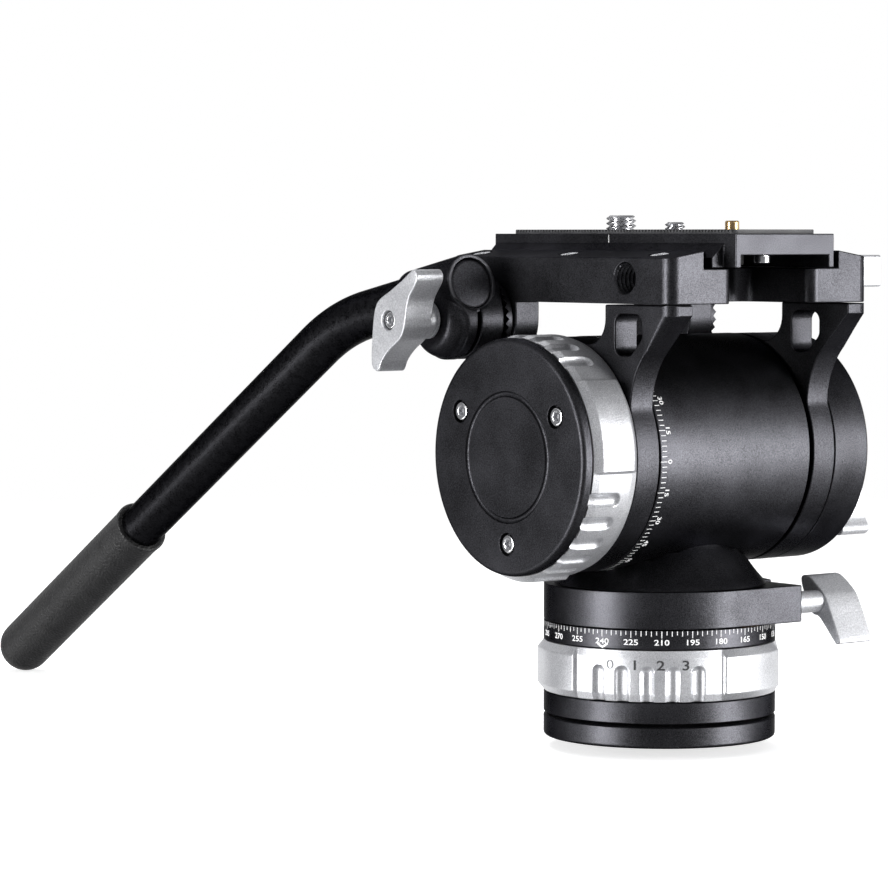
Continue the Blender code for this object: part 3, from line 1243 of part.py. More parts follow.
def build_handle():
    hinge = (0, HINGE_Y, HINGE_Z)
    body = turned("handle_clamp", solid_profile(
        (CLAMP_BODY_RADIUS, -ROSETTE_OUTER - GAP),
        (CLAMP_BODY_RADIUS, CLAMP_BODY_END + CLAMP_BODY_ROUNDING),
        (CLAMP_BODY_RADIUS - CLAMP_BODY_ROUNDING, CLAMP_BODY_END),
        (CLAMP_BOSS_RADIUS, CLAMP_BODY_END),
        (CLAMP_BOSS_RADIUS, CLAMP_BOSS_END),
    ), MEDIUM_SIDES, "black_casting", "X", hinge)
    sleeve = turned("clamp_sleeve", solid_profile((SLEEVE_RADIUS, 0), (SLEEVE_RADIUS, SLEEVE_LENGTH)),
                    MEDIUM_SIDES, "black_casting", "Z", handle_point(0))
    tube_bore = turned("sleeve_bore", solid_profile((TUBE_RADIUS + GAP, -OVERRUN),
                                                    (TUBE_RADIUS + GAP, SLEEVE_LENGTH + OVERRUN)),
                       MEDIUM_SIDES, "black_casting", "Z", handle_point(0))
    lie_along(sleeve, FRONT_SLOPE)
    lie_along(tube_bore, FRONT_SLOPE)
    slit = prism("clamp_slit", box_outline(CLAMP_SLIT_X - CLAMP_SLIT_WIDTH / 2,
                                           CLAMP_SLIT_X + CLAMP_SLIT_WIDTH / 2,
                                           -CLAMP_BODY_RADIUS * 2, SLEEVE_RISE - TUBE_RADIUS / 2),
                 -CLAMP_BODY_RADIUS - OVERRUN, SLEEVE_LENGTH + CLAMP_BODY_RADIUS, "black_casting", "Y",
                 hinge)
    slit.rotation_euler.x = -FRONT_SLOPE
    stud_hole = rod_cutter("clamp_hinge_hole", HINGE_STUD_RADIUS + GAP, CLAMP_BOSS_END - OVERRUN,
                           OVERRUN - ROSETTE_OUTER, "X", hinge)
    join(body, sleeve)
    cut(body, tube_bore, slit, stud_hole)

    wing_middle = (HANDLE_WING_START + HANDLE_WING_END) / 2
    stud = turned("handle_stud", solid_profile((HINGE_STUD_RADIUS, HANDLE_WING_START),
                                               (HINGE_STUD_RADIUS, -LUG_INNER)),
                  SMALL_SIDES, "steel", "X", hinge)
    lever = wing("handle_lever", HANDLE_WING_SHARES, HANDLE_WING_REACH, HANDLE_WING_END, HANDLE_WING_START,
                 0,
                 "silver_casting", hinge)
    hub = turned("handle_lever_hub", solid_profile((HANDLE_LEVER_HUB_RADIUS, wing_middle),
                                                   (HANDLE_LEVER_HUB_RADIUS, CLAMP_BOSS_END - GAP)),
                 MEDIUM_SIDES, "silver_casting", "X", hinge)
    join(lever, hub)
    lever_bore = rod_cutter("lever_bore", HINGE_STUD_RADIUS + GAP, HANDLE_WING_START - GAP,
                            CLAMP_BOSS_END + OVERRUN,
                            "X", hinge)
    screw_low = HANDLE_WING_END + GAP
    screw_bore = rod_cutter("lever_screw_bore", HANDLE_SCREW_RADIUS + GAP, HANDLE_WING_END - OVERRUN,
                            screw_low + HANDLE_SCREW_LENGTH + GAP, "X", hinge)
    cut(lever, lever_bore, screw_bore)
    screw = socket_screw("handle_lever_screw", "X", (screw_low, HINGE_Y, HINGE_Z),
                         (HANDLE_SCREW_RADIUS, HANDLE_SCREW_LENGTH / 2),
                         (HANDLE_SCREW_SHANK, HANDLE_SCREW_LENGTH / 2), "steel")

    tube = swept("handle_tube", tube_path(), MEDIUM_SIDES - 4, TUBE_RADIUS, TUBE_RADIUS - TUBE_WALL,
                 "black_aluminium", (0, 0, 0))
    cut(tube, rod_cutter("tube_notch", HINGE_STUD_RADIUS + GAP, CLAMP_BOSS_END - OVERRUN,
                         OVERRUN - ROSETTE_OUTER, "X", hinge))
    cap_radius = SLEEVE_RADIUS - CAP_RIM_WIDTH - GAP
    cap = turned("tube_end_cap", solid_profile(
        (cap_radius / 2, -CAP_DOME / 2),
        (cap_radius, GAP),
        (cap_radius, CAP_DEPTH),
    ), MEDIUM_SIDES, "black_casting", "Z", handle_point(0))
    lie_along(cap, FRONT_SLOPE)

    dome = circle_arc((0, GRIP_LENGTH), GRIP_RADIUS, 0, math.pi / 2, GRIP_DOME_STEPS)
    bore = TUBE_RADIUS + GAP
    profile = [(0, TUBE_IN_GRIP + GAP), (bore, TUBE_IN_GRIP + GAP), (bore, 0), (GRIP_RADIUS - GRIP_EDGE, 0),
               (GRIP_RADIUS, GRIP_EDGE), *dome[:-1], (0, GRIP_LENGTH + GRIP_RADIUS)]
    grip = turned("handle_grip", profile, MEDIUM_SIDES, "rubber", "Z", rear_point(REAR_LENGTH))
    lie_along(grip, REAR_SLOPE)
    return body, stud, lever, screw, tube, cap, grip


def main():
    clear_scene()
    pan = pivot("pan_axis", (0, 0, 0))
    tilt = pivot("tilt_axis", (0, 0, TILT_HEIGHT), pan)
    handle = pivot("handle_axis", (HANDLE_X, HINGE_Y, HINGE_Z), tilt)

    build_base()
    fixed, turning = build_pan_bearing()
    attach(pan, build_housing(), *turning, *build_pan_lock())

    with_pan, with_tilt = build_tilt_inside()
    attach(pan, *with_pan)
    arms = [build_arm("arm_left", -1), build_arm("arm_right", 1)]
    hub, ring, cover, cover_screws = build_knob()
    platform, rail_screws = build_platform()
    rosettes = [build_rosette("rosette_left", -1), build_rosette("rosette_right", 1)]
    plate, pad, camera_screws, pin, spring, stop = build_plate()
    attach(tilt, *with_tilt, *arms, hub, ring, cover, *cover_screws, *build_flange(), platform,
           *rail_screws,
           *rosettes, *build_clamp(), plate, pad, *camera_screws, pin, spring, stop)
    attach(handle, *build_handle())


main()
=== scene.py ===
# %% [markdown]
# # Fluid video head
#
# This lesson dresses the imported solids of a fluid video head: a pan base, a horizontal tilt cylinder between two
# arms, a quick release platform and a bent handle. The solids are the fixed frame. Every visible piece is a surface
# worked out with numpy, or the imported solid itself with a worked-out finish.

# %% Frame
import json
import math

import bmesh
import bpy
import numpy as np
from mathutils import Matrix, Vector
from mathutils.geometry import tessellate_polygon


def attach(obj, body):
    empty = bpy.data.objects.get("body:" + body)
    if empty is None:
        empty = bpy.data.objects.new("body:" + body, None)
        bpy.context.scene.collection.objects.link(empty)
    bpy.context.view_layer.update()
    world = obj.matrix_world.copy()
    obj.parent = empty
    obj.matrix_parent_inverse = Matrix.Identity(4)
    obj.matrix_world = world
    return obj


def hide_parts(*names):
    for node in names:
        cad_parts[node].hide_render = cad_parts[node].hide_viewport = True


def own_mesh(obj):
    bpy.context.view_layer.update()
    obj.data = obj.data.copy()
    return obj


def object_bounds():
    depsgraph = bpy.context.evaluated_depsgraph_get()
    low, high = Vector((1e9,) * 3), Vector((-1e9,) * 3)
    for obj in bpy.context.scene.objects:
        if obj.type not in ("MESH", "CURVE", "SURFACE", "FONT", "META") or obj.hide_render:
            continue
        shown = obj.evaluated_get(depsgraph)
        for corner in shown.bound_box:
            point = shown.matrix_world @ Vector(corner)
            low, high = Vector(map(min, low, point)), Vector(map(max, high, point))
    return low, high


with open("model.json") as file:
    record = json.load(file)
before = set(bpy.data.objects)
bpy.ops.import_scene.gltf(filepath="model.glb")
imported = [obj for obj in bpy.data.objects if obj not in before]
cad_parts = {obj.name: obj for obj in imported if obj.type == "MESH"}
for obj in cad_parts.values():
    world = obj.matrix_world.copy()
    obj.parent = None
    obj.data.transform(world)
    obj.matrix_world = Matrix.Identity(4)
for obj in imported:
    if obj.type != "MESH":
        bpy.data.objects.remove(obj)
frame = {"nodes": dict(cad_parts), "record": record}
cad_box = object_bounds()
nodes = frame["nodes"]
scene = bpy.context.scene
scene.view_settings.view_transform = "Standard"
TAU = math.tau
MM = 0.001

# %% [markdown]
# ## Camera
#
# A product photograph is taken from far away with a long lens, so that circles stay calm ellipses. The camera could be
# set by eye, but three groups of circles on two known axes give it exactly: the tilt knob, the end flange and the pan
# base. They put the lens 1.15 m away, a little above the platform and 41 degrees to the left of the front.

# %% Camera
lens = bpy.data.cameras.new("camera")
lens.lens, lens.sensor_width, lens.clip_end = 148.02, 36.0, 20.0
camera = bpy.data.objects.new("camera", lens)
camera.location = (-0.7588, -0.8631, 0.1577)
camera.rotation_euler = (math.radians(90 - 3.297), 0, math.radians(-37.93))
scene.collection.objects.link(camera)
scene.camera = camera
print("camera at", tuple(camera.location))

# %% [markdown]
# ## Light and floor
#
# A catalogue photograph of black metal is drawn by reflections: a broad soft box at the right of the front lights every
# face that looks forwards, a tall narrow one at the left gives the casting its bright left edge, and the sides stay
# dark because they mirror black cloth. The lamps light the head at a plain level in an evenly pale room. The room and
# the floor are white for the camera and for mirrors only, so the background doesn't brighten the object, and the
# dark cloth sheets are seen only in the metal. The floor is left out of the mirrors and keeps the head's shadow.

# %% Nodes
def linear(hex_colour):
    """Scene value of an sRGB colour: the sRGB curve undone, channel by channel."""
    channels = np.array([int(hex_colour[i:i + 2], 16) for i in (1, 3, 5)]) / 255
    values = np.where(channels <= 0.04045, channels / 12.92, ((channels + 0.055) / 1.055) ** 2.4)
    return (*values.tolist(), 1.0)


def add_node(tree, kind, settings=None, links=None):
    """One node. Settings are values of sockets or properties, or a ramp's stops, and links are outputs."""
    node = tree.nodes.new(kind)
    for key, value in (settings or {}).items():
        if key == "stops":
            for element, (position, colour) in zip(node.color_ramp.elements, value):
                element.position, element.color = position, linear(colour)
        elif isinstance(key, int) or key in node.inputs:
            node.inputs[key].default_value = value
        else:
            setattr(node, key, value)
    for key, output in (links or {}).items():
        tree.links.new(output, node.inputs[key])
    return node


def new_tree(owner):
    """Empty node tree of a new material or world, and the coordinates that its patterns lie on."""
    owner.use_nodes = True
    owner.node_tree.nodes.clear()
    return owner.node_tree, add_node(owner.node_tree, "ShaderNodeTexCoord").outputs["Object"]


def seen_by(tree, *rays):
    """1 for a ray of one of these kinds and else 0: the highest of their outputs."""
    path = add_node(tree, "ShaderNodeLightPath")
    value = path.outputs[rays[0]]
    for ray in rays[1:]:
        higher = add_node(tree, "ShaderNodeMath", {"operation": "MAXIMUM"}, {0: value, 1: path.outputs[ray]})
        value = higher.outputs[0]
    return value


sky = bpy.data.worlds.new("studio")
scene.world = sky
tree, _ = new_tree(sky)
room = add_node(tree, "ShaderNodeBackground", {"Color": linear("#acacae"), "Strength": 1.0})
white = add_node(tree, "ShaderNodeBackground", {"Color": (1, 1, 1, 1), "Strength": 1.0})
seen = seen_by(tree, "Is Camera Ray", "Is Glossy Ray", "Is Transmission Ray")
choice = add_node(tree, "ShaderNodeMixShader", links={0: seen, 1: room.outputs[0], 2: white.outputs[0]})
add_node(tree, "ShaderNodeOutputWorld", links={"Surface": choice.outputs[0]})
print("room with", len(tree.nodes), "nodes")


# %% Lamps and dark cloth
def facing(place, aim):
    """Turn that points -Z from one place to another."""
    return (Vector(aim) - Vector(place)).to_track_quat("-Z", "Y")


def soft_box(name, place, aim, size, watts):
    """Rectangular lamp that looks at a point."""
    lamp = bpy.data.lights.new(name, "AREA")
    lamp.shape = "RECTANGLE"
    lamp.size, lamp.size_y = size
    lamp.energy = watts
    item = bpy.data.objects.new(name, lamp)
    item.location, item.rotation_euler = place, facing(place, aim).to_euler()
    item.visible_camera = False
    scene.collection.objects.link(item)


def staged(name, points, material):
    """One flat face of the set, which isn't part of the object."""
    mesh = bpy.data.meshes.new(name)
    mesh.from_pydata(points, [], [range(len(points))])
    mesh.materials.append(material)
    item = bpy.data.objects.new(name, mesh)
    scene.collection.objects.link(item)
    return item


def flag(name, place, size, aim=(0, 0, 0)):
    """Sheet of dark cloth beside the set, as photographers hang it up: black metal mirrors it, the camera doesn't
    see it, and it takes no light away."""
    turn = facing(place, aim).to_matrix()
    corners = [(-1, -1), (1, -1), (1, 1), (-1, 1)]
    item = staged(name, [turn @ Vector((x * size[0] / 2, y * size[1] / 2, 0)) + Vector(place) for x, y in corners],
                  dark_cloth)
    item.visible_camera = item.visible_shadow = item.visible_diffuse = False


soft_box("front_box", (0.80, -1.38, 0.06), (0, 0, 0.06), (0.68, 0.80), 29)
soft_box("left_strip", (-1.48, 0.21, 0.06), (0, 0, 0.06), (0.40, 0.95), 21)
soft_box("low_strip", (-1.10, 0.92, -0.40), (0, 0, 0.05), (0.22, 0.22), 1.4)
soft_box("rear_box", (0.28, 0.85, 1.30), (0, 0, 0.10), (0.90, 0.60), 14)

# Black cotton under stray light: an even dark grey with a mottle of its folds, about 3 mm wide.
dark_cloth = bpy.data.materials.new("dark_cloth")
tree, place = new_tree(dark_cloth)
weave = add_node(tree, "ShaderNodeTexNoise", {"Scale": 300.0}, {"Vector": place})
shade = add_node(tree, "ShaderNodeValToRGB", {"stops": [(0.3, "#7a7a7c"), (0.7, "#868688")]},
                 {"Fac": weave.outputs[0]})
cloth = add_node(tree, "ShaderNodeEmission", links={"Color": shade.outputs[0]})
add_node(tree, "ShaderNodeOutputMaterial", links={"Surface": cloth.outputs[0]})
flag("flag_above", (0, 0, 0.80), (2.2, 2.2))
flag("flag_below", (0, 0, -0.80), (2.2, 2.2))
flag("flag_front", (-1.05, -1.20, 0.0), (2.7, 1.6))
flag("flag_left", (-0.98, 1.20, 0.0), (1.9, 1.6))
flag("flag_rear", (1.00, 1.15, 0.70), (2.6, 0.94), (0, 0, 0.70))
print(len(bpy.data.lights), "lamps and 5 sheets of cloth")


# %% Floor
def circle(radius, centre=(0, 0), sides=48):
    """Points round a circle, anticlockwise."""
    angle = np.arange(sides) * TAU / sides
    return np.stack([centre[0] + radius * np.cos(angle), centre[1] + radius * np.sin(angle)], -1)


# Uncoated paper: matt and nearly white, with a mottle of fibres about 1 mm wide. For the camera it glows a little, so
# that it runs into the white room, and towards its rim it fades away.
paper = bpy.data.materials.new("paper_floor")
tree, place = new_tree(paper)
fibre = add_node(tree, "ShaderNodeTexNoise", {"Scale": 900.0}, {"Vector": place})
tone = add_node(tree, "ShaderNodeValToRGB", {"stops": [(0.3, "#e9e9ea"), (0.7, "#efefef")]},
                {"Fac": fibre.outputs[0]})
matt = add_node(tree, "ShaderNodeBsdfDiffuse", links={"Color": tone.outputs[0]})
seen = seen_by(tree, "Is Camera Ray", "Is Glossy Ray")
raised = add_node(tree, "ShaderNodeMath", {"operation": "MULTIPLY", 1: 0.70}, {0: seen})
glow = add_node(tree, "ShaderNodeEmission", {"Color": (1, 1, 1, 1)}, {"Strength": raised.outputs[0]})
lit = add_node(tree, "ShaderNodeAddShader", links={0: matt.outputs[0], 1: glow.outputs[0]})
distance = add_node(tree, "ShaderNodeVectorMath", {"operation": "LENGTH"}, {0: place})
fade = add_node(tree, "ShaderNodeMapRange", {"From Min": 0.35, "From Max": 1.1}, {"Value": distance.outputs["Value"]})
clear = add_node(tree, "ShaderNodeBsdfTransparent")
edge = add_node(tree, "ShaderNodeMixShader", links={0: fade.outputs[0], 1: lit.outputs[0], 2: clear.outputs[0]})
add_node(tree, "ShaderNodeOutputMaterial", links={"Surface": edge.outputs[0]})
floor_height = cad_box[0][2] - 0.0002
floor = staged("floor", np.pad(circle(1.2, sides=96), ((0, 0), (0, 1)), constant_values=floor_height).tolist(), paper)
floor.visible_glossy = floor.visible_shadow = False
print("floor at", round(floor_height * 1000, 1), "mm")

# %% [markdown]
# ## Finishes
#
# The black metal is machined aluminium, blasted with fine beads and anodised: a dark, faintly grainy skin whose mirror
# part is weak and spread out. An image texture would be the quick way, but grain needs no image: noise in object
# coordinates gives tone, roughness and a tiny bump at one scale on any shape. A bead's dent is about 0.1 mm wide and a
# pixel of the photograph 0.3 mm, so the grain is drawn three times as coarse as it is, or it wouldn't show.

# %% Finishes
def start_finish(name, **values):
    """Material on the plain shader with some values, its tree, the shader, and a link to the coordinates."""
    material = bpy.data.materials.new(name)
    tree, place = new_tree(material)
    shader = add_node(tree, "ShaderNodeBsdfPrincipled",
                      {key.replace("_", " "): value for key, value in values.items()})
    add_node(tree, "ShaderNodeOutputMaterial", links={"Surface": shader.outputs[0]})
    return material, tree, shader, {"Vector": place}


def dress(tree, shader, tone, stops, rough, bump=None, height=None):
    """Colour and roughness follow one tone between two ends each, and a height pattern gives the bump."""
    colour = add_node(tree, "ShaderNodeValToRGB", {"stops": stops}, {"Fac": tone})
    limits = dict(zip(("To Min", "To Max", "From Min", "From Max"), rough))
    dullness = add_node(tree, "ShaderNodeMapRange", limits, {"Value": tone})
    tree.links.new(colour.outputs[0], shader.inputs["Base Color"])
    tree.links.new(dullness.outputs[0], shader.inputs["Roughness"])
    if bump:
        relief = add_node(tree, "ShaderNodeBump", bump, {"Height": height})
        tree.links.new(relief.outputs[0], shader.inputs["Normal"])


def metal(name, dark, light, metallic, roughness, grain, relief, cloud=18.0, spread=0.08, edge=1.0):
    """Blasted or turned metal. grain and cloud are the sizes in millimetres of the fine and the broad pattern."""
    material, tree, shader, place = start_finish(name, Metallic=metallic, Specular_Tint=(edge, edge, edge, 1))
    fine = add_node(tree, "ShaderNodeTexNoise", {"Scale": 1 / (grain * MM), "Detail": 3.0}, place)
    broad = add_node(tree, "ShaderNodeTexNoise", {"Scale": 1 / (cloud * MM), "Detail": 4.0}, place)
    both = add_node(tree, "ShaderNodeMix", {0: 0.35}, {2: fine.outputs[0], 3: broad.outputs[0]})
    rough = roughness - spread, roughness + spread, 0.25, 0.75
    dress(tree, shader, both.outputs[0], [(0.36, dark), (0.64, light)], rough,
          {"Strength": relief, "Distance": grain * MM * 0.2}, fine.outputs[0])
    return material


# Aluminium, bead blasted and anodised black: soft highlights with grain, and edges that stay dark at a low angle.
black_anodised = metal("black_anodised", "#28282a", "#4c4c50", 1.0, 0.36, 0.30, 0.80, edge=0.3)
black_cast = metal("black_cast", "#28282a", "#4a4a4e", 1.0, 0.40, 0.38, 0.80, edge=0.3)
# Drawn aluminium tube, anodised without blasting: a sharper highlight, broken by die lines 2.5 mm long.
black_tube = metal("black_tube", "#262628", "#3c3c3f", 1.0, 0.32, 0.50, 0.70, cloud=2.5, spread=0.14, edge=0.3)
# Moulded cap, matt and paler than the metal round it. The pin's cup is dull black steel, darkened further by painted
# shade of the hole it sits in.
black_cap = metal("black_cap", "#38383b", "#626267", 1.0, 0.50, 0.38, 0.80, edge=0.3)
cup_black_painted_shade = metal("cup_black_painted_shade", "#0c0c0d", "#141415", 0.2, 0.62, 0.20, 0.30)
# Aluminium, blasted and anodised clear: milky silver, because the oxide scatters some light before it is mirrored.
silver_anodised = metal("silver_anodised", "#b2b3b7", "#e0e1e4", 0.74, 0.34, 0.36, 0.90, spread=0.05)
silver_cast = metal("silver_cast", "#b0b1b5", "#dddee1", 0.70, 0.42, 0.45, 1.00, spread=0.06)
# Turned steel and brass: near mirrors with a trace of the tool. Blackened steel and sintered bronze are duller.
bright_steel = metal("bright_steel", "#cfd0d3", "#f0f0f2", 1.0, 0.20, 0.15, 0.10, spread=0.05)
turned_brass = metal("turned_brass", "#c7a169", "#e2c596", 1.0, 0.22, 0.15, 0.12, spread=0.05)
dark_steel = metal("dark_steel", "#56565a", "#6c6c70", 1.0, 0.34, 0.20, 0.35)
bearing_bronze = metal("bearing_bronze", "#8a5f2c", "#a87a40", 1.0, 0.42, 0.25, 0.40)
# Moulded acetal of the damper discs: ivory and waxy, with no metal in it.
damper_plastic = metal("damper_plastic", "#c9c8c0", "#d8d7d0", 0.0, 0.50, 0.40, 0.20)


def rubber(name, dark, light, pebble, relief):
    """Moulded rubber: rounded cells of a given size in millimetres stand up, and dust sits lighter in patches."""
    material, tree, shader, place = start_finish(name, Specular_IOR_Level=0.55)
    cells = add_node(tree, "ShaderNodeTexVoronoi", {"Scale": 1 / (pebble * MM), "feature": "SMOOTH_F1"}, place)
    dust = add_node(tree, "ShaderNodeTexNoise", {"Scale": 1 / (6 * MM), "Detail": 5.0}, place).outputs[0]
    dress(tree, shader, dust, [(0.35, dark), (0.70, light)], (0.42, 0.66), {
        "Strength": relief, "Distance": pebble * MM * 0.35, "invert": True}, cells.outputs["Distance"])
    return material


# Foamed rubber of the grip, with pebbles of 0.75 mm, and the denser and greyer rubber of the pad.
grip_rubber = rubber("grip_rubber", "#0f0f10", "#1a1a1b", 0.75, 1.0)
pad_rubber = rubber("pad_rubber", "#3a3a3c", "#4a4a4d", 0.30, 0.3)


def ink(name, dark, light):
    """Enamel in a shallow engraving: a matt colour with the speckle of the paint, 0.3 mm wide."""
    material, tree, shader, place = start_finish(name)
    speckle = add_node(tree, "ShaderNodeTexNoise", {"Scale": 1 / (0.3 * MM)}, place).outputs[0]
    dress(tree, shader, speckle, [(0.35, dark), (0.65, light)], (0.5, 0.7))
    return material


white_ink = ink("white_ink", "#e4e4e4", "#ffffff")
pale_ink = ink("pale_ink", "#808184", "#929396")
dark_ink = ink("dark_ink", "#2a2a2c", "#38383a")

SLOT_FINISH = {"black_anodised": black_anodised, "silver_anodised": silver_anodised, "silver_cast": silver_cast,
               "steel": bright_steel, "dark_steel": dark_steel, "brass": turned_brass, "bronze": bearing_bronze,
               "damper_plastic": damper_plastic, "rubber": grip_rubber}
node_slot = {part["node"]: part["material_slot"] for part in frame["record"]["subparts"]}
for name, solid in nodes.items():
    for holder in solid.material_slots:
        holder.material = SLOT_FINISH[node_slot[name]]
print(len(bpy.data.materials), "materials")

# %% [markdown]
# ## Surfaces from numbers
#
# A turned part could come from Blender's Screw modifier and a plate from an extruded curve. Here each surface is
# worked out as one array of points on a grid, because the real sizes then stay in plain sight: a profile turned about
# an axis, or an outline carried through the rounding of its rim. A place says how the piece lies: three directions,
# two across its axis and one along it, and the point that its numbers count from.

# %% Surface helpers
ALONG_X = np.array([(0, 1, 0), (0, 0, 1), (1, 0, 0)], float)
ALONG_Y = np.array([(0, 0, 1), (1, 0, 0), (0, 1, 0)], float)
UPRIGHT = np.eye(3), (0, 0, 0)
ACROSS = ALONG_X, (0, 0, 0)
LENGTHWAYS = ALONG_Y, (0, 0, 0)
TILT_HEIGHT = 89.67
TILT_AXIS = ALONG_X, (0, 0, TILT_HEIGHT)
BODY_RADIUS = 36.5


def laid(points, place):
    """Points given across and along an axis, put into the head's own frame."""
    directions, centre = place
    return np.asarray(points) @ directions + np.asarray(centre)


def grid_faces(rows, columns, closed=True):
    """Quads between neighbouring points of a grid, row by row. A closed row's last point joins its first."""
    row = np.arange(rows - 1)[:, None] * columns
    column = np.arange(columns if closed else columns - 1)[None, :]
    ahead = (column + 1) % columns
    corners = (row + column, row + ahead, row + columns + ahead, row + columns + column)
    return np.stack(np.broadcast_arrays(*corners), axis=-1).reshape(-1, 4)


def soft_corners(corners, radii, steps=5, closed=True):
    """Outline whose corners turn in arcs.

    With unit directions to both neighbours, the arc's centre is the corner plus their sum's direction times the
    radius over the sine of half the angle, and each arc point turns evenly from one tangent point to the other.
    """
    corners = np.asarray(corners, float)
    radius = np.broadcast_to(radii, len(corners)).astype(float)[:, None]
    back, ahead = np.roll(corners, 1, 0) - corners, np.roll(corners, -1, 0) - corners
    back /= np.linalg.norm(back, axis=1, keepdims=True)
    ahead /= np.linalg.norm(ahead, axis=1, keepdims=True)
    half = np.arccos((back * ahead).sum(1, keepdims=True).clip(-0.9999, 0.9999)) / 2
    middle = back + ahead
    middle /= np.linalg.norm(middle, axis=1, keepdims=True).clip(1e-9)
    centre = corners + middle * radius / np.sin(half)
    start = corners + back * radius / np.tan(half) - centre
    end = corners + ahead * radius / np.tan(half) - centre
    share = np.linspace(0, 1, steps + 1)[None, :, None]
    span = (np.pi - 2 * half)[:, None]
    turn = np.sin((1 - share) * span) * start[:, None] + np.sin(share * span) * end[:, None]
    arcs = centre[:, None] + turn / np.sin(span)
    if not closed:
        arcs[0], arcs[-1] = corners[0], corners[-1]
    points = arcs.reshape(-1, 2)
    keep = np.linalg.norm(points - np.roll(points, 1, 0), axis=1) > 1e-4
    keep[0] = True
    return points[keep]


def revolved(radius, height, place=UPRIGHT, sides=144, turn=0.0):
    """Sheet round an axis: radius and height have a row for each ring, of one value or of one for each side."""
    angle = np.arange(sides) * TAU / sides + turn
    points = np.stack(np.broadcast_arrays(radius * np.cos(angle), radius * np.sin(angle), height), -1)
    return laid(points.reshape(-1, 3), place), grid_faces(len(points), sides)


def turned(profile, place=UPRIGHT, sides=144):
    """Sheet turned as on a lathe: each (radius, height) of the profile goes once round."""
    return revolved(*np.array(profile, float).T[:, :, None], place, sides)


def filled(loops):
    """Triangles inside the first loop and outside the others, numbered through all their points."""
    return np.array(tessellate_polygon([np.pad(loop[:, :2], ((0, 0), (0, 1))).tolist() for loop in loops]))


def slab(outline, low, high, edge, place=UPRIGHT, holes=(), steps=3, layers=(), bend=np.array):
    """Sheets of a plate with rounded rims.

    Along the rim the angle t runs from 0 at the face to 90 degrees at the wall: the outline moves in by
    edge * (1 - sin t) and lies edge * (1 - cos t) from the face. In is square to the outline, and further at corners,
    so that both edges move evenly. layers are heights in between, and bend moves points before the faces are filled.
    """
    t = np.linspace(0, np.pi / 2, steps + 1)
    inset, rise = 1 - np.sin(t), 1 - np.cos(t)
    sheets, rims = [], []
    for number, loop in enumerate([outline, *holes]):
        area = (loop[:, 0] * np.roll(loop[:, 1], -1) - loop[:, 1] * np.roll(loop[:, 0], -1)).sum()
        loop = loop[::-1] if (area > 0) == (number > 0) else loop
        ahead = np.roll(loop, -1, 0) - loop
        square = np.stack([ahead[:, 1], -ahead[:, 0]], -1) / np.linalg.norm(ahead, axis=1, keepdims=True)
        before = np.roll(square, 1, 0)
        out = edge * (square + before) / (1 + (square * before).sum(1, keepdims=True)).clip(0.2, None)
        rows = [(loop - out * a, low + edge * b) for a, b in zip(inset, rise)]
        rows += [(loop, height) for height in layers]
        rows += [(loop - out * a, high - edge * b) for a, b in zip(inset[::-1], rise[::-1])]
        rings = [bend(np.column_stack([flat, np.full(len(flat), height)])) for flat, height in rows]
        sheets.append((laid(np.concatenate(rings), place), grid_faces(len(rings), len(loop))))
        rims.append((rings[0], rings[-1]))
    fill = filled([bottom for bottom, top in rims])
    for side in (0, 1):
        cap = np.concatenate([pair[side] for pair in rims])
        sheets.append((laid(cap, place), fill if side else fill[:, ::-1]))
    return sheets


def panel(loops, height, place=UPRIGHT):
    """Sheet inside the first loop and outside the others. height is one value, or a function of the points."""
    points = np.concatenate(loops)
    level = height(points) if callable(height) else np.full(len(points), float(height))
    return laid(np.column_stack([points, level]), place), filled(loops)


print("tilt axis", TILT_HEIGHT, "mm up, and the two bodies", 2 * BODY_RADIUS, "mm wide")


# %% Meshes
def mesh_of(name, sheets):
    """One mesh in metres from sheets of points in millimetres."""
    starts = np.cumsum([0] + [len(points) for points, _ in sheets])
    faces = [face for start, (_, sheet) in zip(starts, sheets) for face in (sheet + start).tolist()]
    mesh = bpy.data.meshes.new(name)
    mesh.from_pydata((np.concatenate([points for points, _ in sheets]) * MM).tolist(), [], faces)
    return mesh


def finished(name, mesh, finish, body, *stands_for, sharp=38):
    """Smooth shading by face size, the finish, and the body that the piece rides on."""
    mesh.shade_smooth()
    mesh.set_sharp_from_angle(angle=math.radians(sharp))
    mesh.materials.append(finish)
    item = bpy.data.objects.new(name, mesh)
    scene.collection.objects.link(item)
    weighted = item.modifiers.new("weighted", "WEIGHTED_NORMAL")
    weighted.keep_sharp = weighted.use_face_influence = True
    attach(item, body)
    if stands_for:
        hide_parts(*stands_for)
    print(name, len(mesh.polygons), "faces")
    return item


def piece(name, sheets, finish, body, *stands_for, sharp=38):
    """Sheets welded where they meet, with faces outwards all round."""
    mesh = mesh_of(name, sheets)
    shape = bmesh.new()
    shape.from_mesh(mesh)
    bmesh.ops.remove_doubles(shape, verts=shape.verts, dist=0.002 * MM)
    bmesh.ops.delete(shape, geom=[edge for edge in shape.edges if not edge.link_faces], context="EDGES")
    bmesh.ops.recalc_face_normals(shape, faces=shape.faces)
    shape.to_mesh(mesh)
    shape.free()
    return finished(name, mesh, finish, body, *stands_for, sharp=sharp)


def disc(name, corners, body, *stands_for, finish=black_anodised, place=UPRIGHT, sides=144):
    """Solid of revolution from corners (radius, height, rounding) that start and end on the axis or close a ring."""
    corners = np.array(corners)
    profile = soft_corners(corners[:, :2], corners[:, 2], closed=False)
    return piece(name, [turned(profile, place, sides)], finish, body, *stands_for)


# %% [markdown]
# ## Pan base
#
# The base is a stack of discs on one lathe axis, with dark gaps between them. A cylinder primitive would have razor
# edges that catch no light, so each disc is a turned profile whose corners are small arcs.

